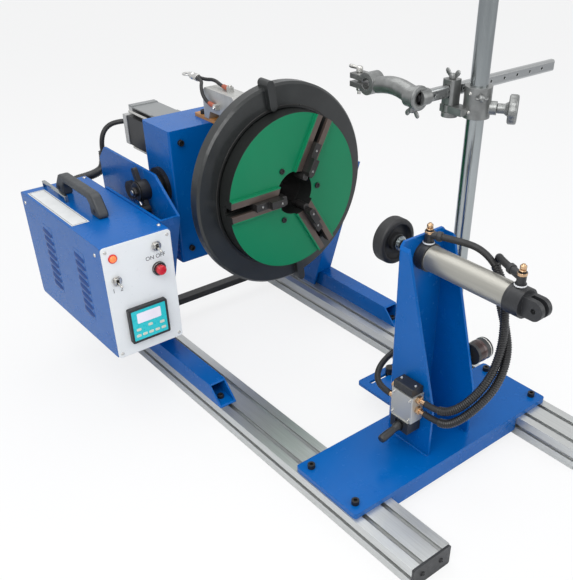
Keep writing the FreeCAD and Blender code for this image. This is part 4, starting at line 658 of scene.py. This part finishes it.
def switch_bush(label):
    """Face of the switch's nut, with four turns of thread in front of it."""
    built = bmesh.new()
    matrix = axis_matrix((PANEL + 0.003, *SWITCHES[label]), TO_TAIL)
    lathe(built, [(8.8, 0), (9.2, 0.3), (9.2, 0.6), (6.2, 0.8), (6.2, 0)], matrix, 40)
    for turn in range(4):
        crest = 1.1 + 0.8 * turn
        lathe(built, [(6.0, crest - 0.3), (6.35, crest), (6.0, crest + 0.3)], matrix, 36)
    place(label + "_bush.thread", built, zinc, "base")


def pilot_lamp():
    spot = (PANEL, mode_y, LAMP_Z)
    lens = turned("pilot_lens", [(6.2, 0), (6.2, 2.2), (5.5, 3.6), (4.0, 4.6), (2.0, 5.0),
                                 (0, 5.1)], spot, TO_TAIL, lamp_glass, "base", 40)
    rim = turned("pilot_rim", [(6.4, 0), (8.0, 0), (8.0, 1.6), (7.4, 2.4), (6.6, 2.6), (6.2, 1.8),
                               (6.2, 0)], spot, TO_TAIL, red_plastic, "base")
    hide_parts("pilot_lamp")
    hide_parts("pilot_lamp")


def stop_button():
    cap = turned("stop_cap", [(6.0, -6.0), (6.0, 0), (8.6, 0), (9.0, 0.6), (9.0, 4.2), (8.0, 5.6),
                              (5.0, 6.1), (0, 6.0)],
                 (BUTTON_FACE, power_y, STOP_Z), TO_TAIL, red_plastic, "stop_button")
    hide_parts("stop_button")
    turned("stop_ring", [(6.8, 0.4), (12.2, 0.4), (12.8, 1.0), (12.8, 4.4), (11.8, 5.3),
                         (9.2, 5.3), (8.6, 4.6), (6.8, 4.6)],
           (PANEL, power_y, STOP_Z), TO_TAIL, plastic, "base", 56)


def display():
    """Lit face with a pale window and two rows of keys."""
    extruded("display_face", rounded_rectangle(0.0675, 0.0595, 0.0015), 0.0004,
             at(BUTTON_FACE, display_y, display_z) @ FACE_TAIL, cyan, "base", 0.0001)
    extruded("display_window", rounded_rectangle(0.047, 0.02, 0.002), 0.0004,
             at(BUTTON_FACE + 0.0003, display_y, display_z + 0.0135) @ FACE_TAIL, screen, "base",
             0.0001)
    keys = [(0.0125 * n, -0.0205) for n in range(-2, 3)]
    keys += [(-0.0235, -0.0085), (0.0, -0.005), (0.0235, -0.0085)]
    built = bmesh.new()
    for offset, rise in keys:
        prism(built, rounded_rectangle(0.0092, 0.0052, 0.0018), 0.0007,
              at(BUTTON_FACE + 0.0003, display_y + offset, display_z + rise) @ FACE_TAIL)
    place("display_keys", built, key_white, "base", 0.0003)


def legend(name, words, y, z, size):
    """Small printed legend that faces the tailstock."""
    data = bpy.data.curves.new(name, "FONT")
    data.body = words
    data.size = size
    data.align_x = "CENTER"
    data.extrude = 0.00004
    obj = add_object(name, data)
    obj.matrix_world = at(PANEL + 0.0002, y, z) @ FACE_TAIL
    dress(obj, ink, "base")


def carry_handle():
    """Arched handle with broad feet, soft edges and a grip with finger ribs."""
    low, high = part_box("carry_handle")
    x0, x1, z0, z1 = low.x, high.x, low.z, high.z
    y, half = (low.y + high.y) / 2, (high.y - low.y) / 2
    foot_middle = 0.017

    def arch(points):
        return points + [(x0 + x1 - x, z) for x, z in reversed(points)]
    outer = arch([(x0, z0), (x0, z0 + 0.01), (x0 + 0.006, z0 + 0.019), (x0 + 0.02, z1 - 0.003),
                  (x0 + 0.03, z1)])
    inner = arch([(x1 - 0.034, z0), (x1 - 0.035, z1 - 0.022), (x1 - 0.044, z1 - 0.0135)])
    handle = extruded("handle.grip", outer + inner, 2 * half, at(0, y + half, 0) @ FACE_NEAR,
                      handle_grey, "base", 0.0042, 5)
    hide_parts("carry_handle")
    built = bmesh.new()
    for n in range(-5, 6):
        prism(built, rounded_rectangle(0.0022, 0.0022, 0.0008, 3), 2 * half - 0.006,
              at((x0 + x1) / 2 + n * 0.008 - 0.001, y + half - 0.003, z1 - 0.0142) @ FACE_NEAR)
    place("handle.ribs", built, handle_grey, "base")
    screws("handle.screws", [((x, y - half + 0.0004, z0 + 0.012), NEAR, 4.2, 1.2)
                             for x in (x0 + foot_middle, x1 - foot_middle)], oxide, "base")


def louvres():
    """Pressed hoods over the vents: rounded at the top and ends, open at the lower edge; their
    darker blue is painted shade.
    """
    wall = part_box("control_box")[0].y
    columns = (-0.355, -0.222)
    built = bmesh.new()
    for x in columns:
        prism(built, rounded_rectangle(0.042, 0.134, 0.004), 0.0002,
              at(x, wall, 0.2508) @ FACE_NEAR)
    place("louvre_backs", built, blue, "base", smooth=False)
    down = (0.0, 0.06, 0.15, 0.3, 0.5, 0.75, 1.0)
    along = [(u, 1.0 - abs(u) ** 5)
             for u in (-1.0, -0.94, -0.86, -0.7, -0.4, 0.0, 0.4, 0.7, 0.86, 0.94, 1.0)]
    built = bmesh.new()
    for x in columns:
        for n in range(8):
            slanted = at(x, wall, 0.305 - 0.0155 * n) @ rotation(8, "Y")
            rows = []
            for v in down:
                reach = math.sin(min(1.0, v * 1.3) * math.pi / 2)
                rows.append([built.verts.new(slanted @ Vector((
                    0.019 * u, -0.0002 - 0.003 * reach * swell,
                    0.0034 - 0.0068 * v * (0.84 + 0.16 * swell)))) for u, swell in along])
            for low, high in zip(rows, rows[1:]):
                for k in range(len(along) - 1):
                    built.faces.new((low[k], low[k + 1], high[k + 1], high[k]))
    hoods = place("louvre_hoods", built, louvre_shaded_blue, "base")
    hoods.modifiers.new("sheet", "SOLIDIFY").thickness = 0.0005


def lid_label():
    """Blank label on the lid, with a printed frame."""
    x0, y0, x1, y1 = -0.432, -0.362, -0.24, -0.329
    extruded("lid_label", rectangle(x0, y0, x1, y1), 0.0003, at(0, 0, LID_TOP + 0.0001),
             label_white, "base")
    x0, y0, x1, y1 = x0 + 0.003, y0 + 0.0025, x1 - 0.003, y1 - 0.0025
    half_line = 0.0004
    built = bmesh.new()
    for strip in ([rectangle(x0, y - half_line, x1, y + half_line) for y in (y0, y1)]
                  + [rectangle(x - half_line, y0, x + half_line, y1) for x in (x0, x1)]):
        prism(built, strip, 0.0001, at(0, 0, LID_TOP + 0.00041))
    place("lid_label.frame", built, ink, "base", smooth=False)


toggle("power")
toggle("mode")
switch_bush("power")
switch_bush("mode")
pilot_lamp()
stop_button()
display()
legend("legend.power", "ON OFF", power_y - 0.003, 0.3095, 0.0105)
legend("legend.mode", "1   2", mode_y, 0.2705, 0.011)
carry_handle()
louvres()
lid_label()
screws("lid_screws", [((x, -0.243, LID_TOP), UP, 3.6) for x in (-0.44, -0.15)]
       + [((x, -0.3668, 0.336), NEAR, 3.4) for x in (-0.15, -0.44)], zinc, "base", pan_screw)
screws("panel_screws", [((PANEL, y, z), TO_TAIL, 3.0)
                        for y in (panel_low.y + 0.007, panel_high.y - 0.007)
                        for z in (0.148, 0.347)], zinc, "base", pan_screw)


# ---------- chuck and head
def ray_point(angle, radius, x):
    a = math.radians(angle)
    return Vector((x, radius * math.cos(a), AXIS + radius * math.sin(a)))


def jaw_details(number, angle):
    """Two small screws in a jaw's steps, and the nose at its inner end."""
    body = "jaw_%d" % number
    screws("jaw_screws.%d" % number, [(ray_point(angle, radius, x), TO_TAIL, 2.3, 0.6)
                                      for radius, x in ((0.047, -0.05), (0.083, -0.06))],
           jaw_bright, body)
    flank = [(0.027, -0.0035), (0.03, -0.0058), (0.0375, -0.0058)]
    turn = rotation(angle, "X") @ FACE_TAIL
    extruded("jaw_nose.%d" % number, flank + [(reach, -side) for reach, side in reversed(flank)],
             0.028, at(-0.09, 0, AXIS) @ turn, dark_steel, body, 0.0012)


def motor_details():
    """Cap screws, the four studs that hold the stack, and the cable's gland."""
    screws("motor_screws", [((MOTOR_BACK, MOTOR_Y + dy, MOTOR_Z + dz), TO_HEAD, 3.4, 2.2)
                            for dy in (-0.024, 0.024) for dz in (-0.036, 0.036)], oxide, "head")
    stud = 0.0345
    built = bmesh.new()
    for dy in (-stud, stud):
        for dz in (-stud, stud):
            lathe(built, [(0, 0), (2.6, 0), (2.6, 74), (0, 74)],
                  axis_matrix((-0.399, MOTOR_Y + dy, MOTOR_Z + dz), TO_TAIL), 20)
    place("motor_studs", built, zinc, "head")
    turned("motor_gland", [(5.2, -4), (8.5, -4), (8.5, 4), (7.2, 6), (6.4, 12), (5.6, 14),
                           (5.2, 14)], (MOTOR_BACK, MOTOR_Y, 0.44), TO_HEAD, plastic, "head", 24)


def pivot_details():
    """Washer, nut and stud end of the tilt pivot, turning with its lever."""
    x = -0.262
    turned("pivot_washer", [(0, 0), (16.5, 0), (17.0, 0.5), (17.0, 2.0), (16.0, 2.4), (0, 2.4)],
           (x, -0.2201, AXIS), NEAR, oxide, "tilt_lever", 40)
    extruded("pivot_nut", hexagon(0.009), 0.006, axis_matrix((x, -0.2225, AXIS), NEAR),
             dark_steel, "tilt_lever", 0.0008)
    turned("pivot_stud", [(0, 0), (5.0, 0), (5.0, 3.2), (4.4, 3.8), (0, 3.8)],
           (x, -0.2283, AXIS), NEAR, jaw_bright, "tilt_lever", 28)


screws("chuck_screws", [(ray_point(angle, 0.0535, CHUCK_FACE), TO_TAIL, 5.2, 3.2)
                        for angle in (1, 121, 241)], oxide, "spindle")
for number, angle in enumerate(JAW_ANGLES, 1):
    jaw_details(number, angle)
turned("ring_groove", [(147.8, 0), (147.8, 0.7), (150.0, 0.7), (150.0, 0)],
       (-0.106, 0, AXIS), TO_TAIL, dark_steel, "scroll", 160)
screws("head_screws", [((-0.2172, y, z), TO_TAIL, 5.8, 6) for y in (-0.146, 0.146)
                       for z in (0.258, 0.462)], oxide, "head")
motor_details()
screws("brush_screws", [((-0.254, y, 0.491), UP, 5.6, 7) for y in (-0.07, -0.041)], oxide,
       "head")
screws("terminal_screws", [((-0.1715, -0.0625, 0.554), UP, 3.6, 2.2),
                           ((-0.1855, -0.089, 0.52), NEAR, 3.6, 2.2)], zinc, "head")
pivot_details()


# ---------- tailstock
def needle(label):
    """Brass flow screw: hexagon, knurled knob and plain tip."""
    matrix = axis_matrix((PORT_X[label], 0, AXIS + 0.0443), UP)
    built = bmesh.new()
    prism(built, hexagon(0.0056), 0.0034, matrix)
    knob_steps = range(2, 6)

    def knurled(radius, step, n, a):
        return radius * (0.94 if step in knob_steps and n % 2 else 1.0)
    rings = lathe(built, [(3.0, 3.4), (3.0, 4.6), (4.6, 4.8), (5.0, 5.4), (5.0, 8.8), (4.5, 9.4),
                          (2.6, 9.6), (2.6, 11.4), (2.0, 11.7)], matrix, 40, knurled)
    built.faces.new(rings[-1])
    screw = place("needle_%s.screw" % label, built, brass, "needle_" + label)
    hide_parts("needle_" + label)


def port_details(label):
    """White ring at the foot of a port elbow, and the brass collar over it."""
    x, base = PORT_X[label], AXIS + 0.0228
    turned("port_ring." + label, [(7.2, 0), (9.2, 0), (9.5, 0.6), (9.5, 1.8), (9.0, 2.4),
                                  (7.2, 2.4)], (x, 0, base), UP, white_ring, "tail", 40)
    turned("port_collar." + label, [(5.6, 0), (7.2, 0), (7.6, 0.6), (7.6, 4.0), (7.0, 4.6),
                                    (5.6, 4.6)], (x, 0, base + 0.016), UP, brass, "tail", 36)


def hose_collar(label):
    """Release collar where a hose leaves its port elbow."""
    end = Vector(metres(ROUTES["hose_" + label])[0])
    turned("hose_collar." + label, [(5.6, -4), (7.4, -4), (7.8, -3), (7.8, 3), (7.0, 4),
                                    (5.6, 4)],
           end, end - Vector((PORT_X[label], 0, end.z)), plastic, "tail", 32)


def band(name, inner, outer, width, slope, spot, direction, made):
    """A low ring round a tailstock piece, with sloped shoulders."""
    turned(name, [(inner, 0), (outer, slope), (outer, width - slope), (inner, width)], spot,
           direction, made, "tail", 64)


def pressing_pad():
    """Rubber pad with soft rims, hollow at the back round the boss of the rod."""
    pad = turned("pad_face", [(0, 0.5), (12, 0.5), (13, 0), (33, 0), (35.5, 1), (37.5, 3.2),
                              (38, 5), (38, 19.5), (37.2, 22.2), (35, 24), (30.5, 24), (29.2, 23),
                              (29, 15), (15, 15), (14, 16), (14, 23.6), (13.4, 24), (8.5, 24)],
                 (0.172, 0, AXIS), TO_TAIL, rubber, "pad", 72)
    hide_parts("pressing_pad")


def valve_grip():
    """Moulded grip on the outer end of the valve's lever."""
    hang = math.radians(14)
    inward = Vector((0, math.cos(hang), math.sin(hang)))
    turned("valve_grip", [(0, 0), (5.6, 0.4), (7.0, 2), (7.4, 6), (7.0, 22), (6.0, 30), (6.4, 34),
                          (7.8, 37), (8.0, 44), (6.6, 47)],
           Vector((0.303, -0.073, 0.108)) - 0.052 * inward, inward, plastic, "valve_lever", 32)


for detail in (needle, port_details, hose_collar):
    for label in PORT_X:
        detail(label)
pressing_pad()
for label, x in (("a", 0.2702), ("b", 0.4245)):
    band("barrel_lip." + label, 20.5, 20.8, 1.5, 0.3, (x, 0, AXIS), TO_TAIL, barrel_metal)
for label, x in (("a", 0.256), ("b", 0.43)):
    band("cap_groove." + label, 23.0, 23.4, 1.8, 0.4, (x, 0, AXIS), TO_TAIL, plastic)
screws("valve_screws", [((x, -0.08, z), NEAR, 3.0, 1.6) for x in (0.2845, 0.3215)
                        for z in (0.1265, 0.1655)], zinc, "tail")
screws("valve_cap_screws", [((x, -0.066, 0.187), UP, 2.6, 1.4) for x in (0.287, 0.319)], zinc,
       "tail")
valve_grip()
screws("tower_rivets", [((0.2998, -0.0468, z), FAR, 3.0) for z in (0.232, 0.262)], zinc, "tail",
       pan_screw)
band("filter_ring", 18.8, 19.4, 6.6, 0.6, (0.324, 0.076, 0.198), FAR, red_band)
band("filter_rim", 18.8, 19.6, 2.0, 0.4, (0.324, 0.0905, 0.198), FAR, zinc)


# ---------- torch stand
def beside_column(z, direction, reach):
    return Vector((COLUMN_X, COLUMN_Y, z)) + reach * direction


def fluted_knob():
    """Cast hand knob: shallow flutes round the rim, a dished face and a stepped hub."""
    turn = math.radians(35)
    direction = Vector((math.cos(turn), math.sin(turn), 0))
    matrix = axis_matrix(beside_column(0.546, direction, 0.0333), direction)
    built = bmesh.new()
    lathe(built, [(4, -17.5), (4, 0), (7.2, 0), (8, 1), (8, 12), (10, 15), (12, 18.5)], matrix,
          40)
    rim_steps, flutes = range(1, 6), 8

    def fluted(radius, step, n, a):
        depth = 1.0 if step in rim_steps else 0.0
        return radius - depth * (0.5 - 0.5 * math.cos(flutes * a)) ** 2
    rings = lathe(built, [(12, 18), (21.5, 18.4), (23.8, 20.2), (24, 26), (24, 30), (23, 32.8),
                          (20, 33.7), (18.6, 33), (10, 32.6)], matrix, 96, fluted)
    built.faces.new(rings[-1])
    knob = place("knob_cast", built, nickel, "height_knob")
    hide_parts("height_knob")


def wing_screw(name, matrix, reach, rise, body):
    """Two flattened, rounded wings on a turned hub, along the matrix's X axis."""
    built = bmesh.new()
    lathe(built, [(3, -8), (3, 0.3), (5.6, 0.3), (6.2, 1), (5.8, 5.5), (4.4, 8), (0, 8.4)],
          matrix, 28)
    line = [(0.0035, 0.003, 0.0019), (0.0072, 0.0066, 0.0022),
            (reach * 0.72, rise * 0.7, 0.0026), (reach * 0.9, rise * 0.9, 0.0022),
            (reach, rise, 0.001)]
    for side in (-1, 1):
        rings = [[built.verts.new(matrix @ Vector((
            side * (x + 1.35 * half * math.cos(a)), 0.72 * half * math.sin(a),
            z - 1.2 * half * math.cos(a)))) for a in angles(16)] for x, z, half in line]
        skin(built, rings)
        built.faces.new(rings[-1])
    return place(name, built, nickel, body)


def wing_screws():
    """The wing screws of the bracket, of the holder's socket and of the sleeve."""
    reach, rise = 0.0142, 0.014
    top = wing_screw("wing_top", at(0.125, 0.176, 0.588), reach, rise, "bracket_screw")
    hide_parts("bracket_wing_screw")
    under = wing_screw("wing_under", at(0.113, HOLDER_Y, 0.553) @ rotation(180, "X"), reach,
                       rise, "socket_screw")
    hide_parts("socket_wing_screw")
    front = Vector((0.8, -0.6, 0))
    wing_screw("wing_front", axis_matrix(beside_column(0.566, front, 0.0228), front), 0.01,
               0.008, "sleeve")


def sleeve_screws():
    side = Vector((0.1, -0.995, 0))
    screws("sleeve_screws", [(beside_column(z, side, 0.0226), side, 3.0) for z in (0.541, 0.571)],
           zinc, "sleeve", pan_screw)


def holder_neck():
    """Smooth cast neck round the many-sided one, arched and thicker towards the socket."""
    start_x, end_x, steps = 0.113, 0.033, 24
    built = bmesh.new()
    rings = []
    for n in range(steps + 1):
        t = n / steps
        height = HOLDER_Z + 0.002 * t + 0.0066 * math.sin(math.pi * t)
        radius = 0.0136 + 0.0026 * (1 - t) ** 1.5
        rings.append([built.verts.new((start_x + (end_x - start_x) * t,
                                       HOLDER_Y + radius * math.cos(a),
                                       height + radius * math.sin(a))) for a in angles(32)])
    skin(built, rings)
    place("holder_neck", built, nickel, "holder")


def holder_socket():
    """Near-black cup in the torch socket as painted shade, and the raised bead round its mouth.
    """
    # A near-black cup inside the socket: painted shade in the hole.
    turned("socket_shade", [(9.8, 0), (9.8, 7.4), (0, 7.6)],
           (0.129, HOLDER_Y, HOLDER_Z), TO_HEAD, bore_shade, "holder")
    turned("socket_bead", [(18.8, 0), (19.6, 1.0), (19.6, 3.4), (18.8, 4.6), (15.0, 5.0),
                           (10.4, 5.0), (10.1, 0)],
           (0.1242, HOLDER_Y, HOLDER_Z), TO_TAIL, nickel, "holder", 56)


def clamp_bolt():
    """Bolt of the torch clamp: shank and hub, a tapered handle, and the nut below."""
    built = bmesh.new()
    lathe(built, [(3, -36), (3, 0), (5.8, 0.2), (6, 1), (5.8, 8), (4.4, 9.6), (0, 9.9)],
          at(CLAMP_X, HOLDER_Y, 0.5833), 28)
    lathe(built, [(0, 0), (2.0, 0), (2.6, 6), (3.1, 14), (3.4, 20), (3.0, 24), (1.8, 25.5),
                  (0, 25.9)],
          at(CLAMP_X, HOLDER_Y, 0.5893) @ rotation(-90, "Y"), 20)
    prism(built, hexagon(0.005), 0.0075, at(CLAMP_X, HOLDER_Y, 0.5532))
    bolt = place("clamp_bolt", built, zinc, "clamp_bolt")
    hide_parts("torch_clamp_bolt")


fluted_knob()
wing_screws()
sleeve_screws()
holder_neck()
holder_socket()
clamp_bolt()
turned("slot_knob.cap", [(3.7, -12), (3.7, 0), (8.2, 0), (9.0, 0.8), (9.0, 10.0), (8.2, 11.6),
                         (5.0, 12.4), (0, 12.4)],
       (0.124, 0.074, 0.0465), UP, oxide, "slot_knob", 40)


# ---------- welds and small steelwork
def weld(label, start, end, body, radius):
    """A painted fillet weld: overlapping beads along a line."""
    a, b = Vector(start), Vector(end)
    length = (b - a).length / MM
    count = max(3, int(length / 1.1))
    profile = [(0, 0)]
    for n in range(count + 1):
        swell = 1.0 + 0.13 * abs(math.sin(n * math.pi / 3)) + 0.05 * math.sin(n * 1.7)
        profile.append((radius * swell, length * n / count))
    turned("weld." + label, profile + [(0, length)], a, b - a, blue, body, 12)


def weld_pair(label, x0, x1, y, z, body, radius):
    """The same weld on the near side and on the far side."""
    weld(label + "_near", (x0, -y, z), (x1, -y, z), body, radius)
    weld(label + "_far", (x0, y, z), (x1, y, z), body, radius)


weld_pair("tower", 0.256, 0.346, 0.0535, PLATE_TOP, "tail", 2.2)
weld_pair("inner", 0.262, 0.34, 0.0455, PLATE_TOP, "tail", 1.8)
weld("tower_back", (0.2462, -0.044, PLATE_TOP), (0.2462, 0.044, PLATE_TOP), "tail", 2.2)
weld_pair("pocket", -0.36, -0.255, 0.2362, 0.0752, "base", 1.8)
screws("beam_screws", [((x, y, 0.043), UP, 6.2, 7) for x in (-0.026, -0.452)
                       for y in (-0.225, 0.225)], oxide, "base")
screws("pocket_screws", [((-0.35, -0.2362, z), NEAR, 3.4) for z in (0.338, 0.11)], zinc,
       "base", pan_screw)
screws("cap_screws", [((sign * 0.504, y, 0.02), (sign, 0, 0), 4.2) for sign in (-1, 1)
                      for y in (-0.2225, -0.1825, 0.1825, 0.2225)], oxide, "base", pan_screw)


# ---------- floor, light and background
def blend_shader(owner, share, first, second, output):
    """Send a mix of two shaders to the output node of a material or a world."""
    mix = add_node(owner, "MixShader", {"Fac": share, 1: first, 2: second})
    feed(owner, owner.node_tree.nodes[output].inputs["Surface"], mix.outputs["Shader"])


def add_floor():
    """Plain pale floor that shows nearly white to the camera and keeps a soft shadow."""
    built = bmesh.new()
    bmesh.ops.create_grid(built, x_segments=2, y_segments=2, size=6.0)
    floor = add_object("floor", to_mesh("floor", built))
    floor.location = (0, 0, -0.0004)
    made, shader = new_material("floor")
    shader["Base Color"].default_value = (0.86, 0.86, 0.86, 1)
    shader["Roughness"].default_value = 0.7
    seen = add_node(made, "LightPath").outputs["Is Camera Ray"]
    lit = add_node(made, "Emission", {"Color": (1, 1, 1, 1), "Strength": 1.0})
    blend_shader(made, maths(made, "MULTIPLY", seen, 0.8),
                 made.node_tree.nodes["Principled BSDF"].outputs["BSDF"],
                 lit.outputs["Emission"], "Material Output")
    floor.data.materials.append(made)


def add_world():
    """Soft pale light, with a white backdrop for the camera and for reflections."""
    world = bpy.data.worlds.new("world")
    scene.world = world
    world.use_nodes = True
    soft = world.node_tree.nodes["Background"]
    soft.inputs["Color"].default_value = (0.92, 0.95, 1.0, 1)
    soft.inputs["Strength"].default_value = 0.55
    backdrop = add_node(world, "Background", {"Color": (1, 1, 1, 1), "Strength": 1.0})
    ray = add_node(world, "LightPath").outputs
    mirrored = maths(world, "MAXIMUM", maths(world, "MULTIPLY", ray["Is Glossy Ray"], 0.6),
                     ray["Is Transmission Ray"])
    blend_shader(world, maths(world, "MAXIMUM", ray["Is Camera Ray"], mirrored),
                 soft.outputs["Background"], backdrop.outputs["Background"], "World Output")


def add_lamps():
    for name, spot, energy, side in (("key", (0.9, -1.3, 1.9), 26.0, 1.5),
                                     ("fill", (1.7, 0.9, 1.3), 12.0, 1.6),
                                     ("top", (-0.5, 0.1, 2.2), 16.0, 1.8)):
        data = bpy.data.lights.new(name, "AREA")
        data.energy = energy
        data.size = side
        lamp = add_object(name, data)
        lamp.location = spot
        aim = Vector((0, 0, 0.25)) - Vector(spot)
        lamp.rotation_mode = "QUATERNION"
        lamp.rotation_quaternion = aim.to_track_quat("-Z", "Y")


add_floor()
add_world()
add_lamps()
scene.view_settings.view_transform = "Standard"
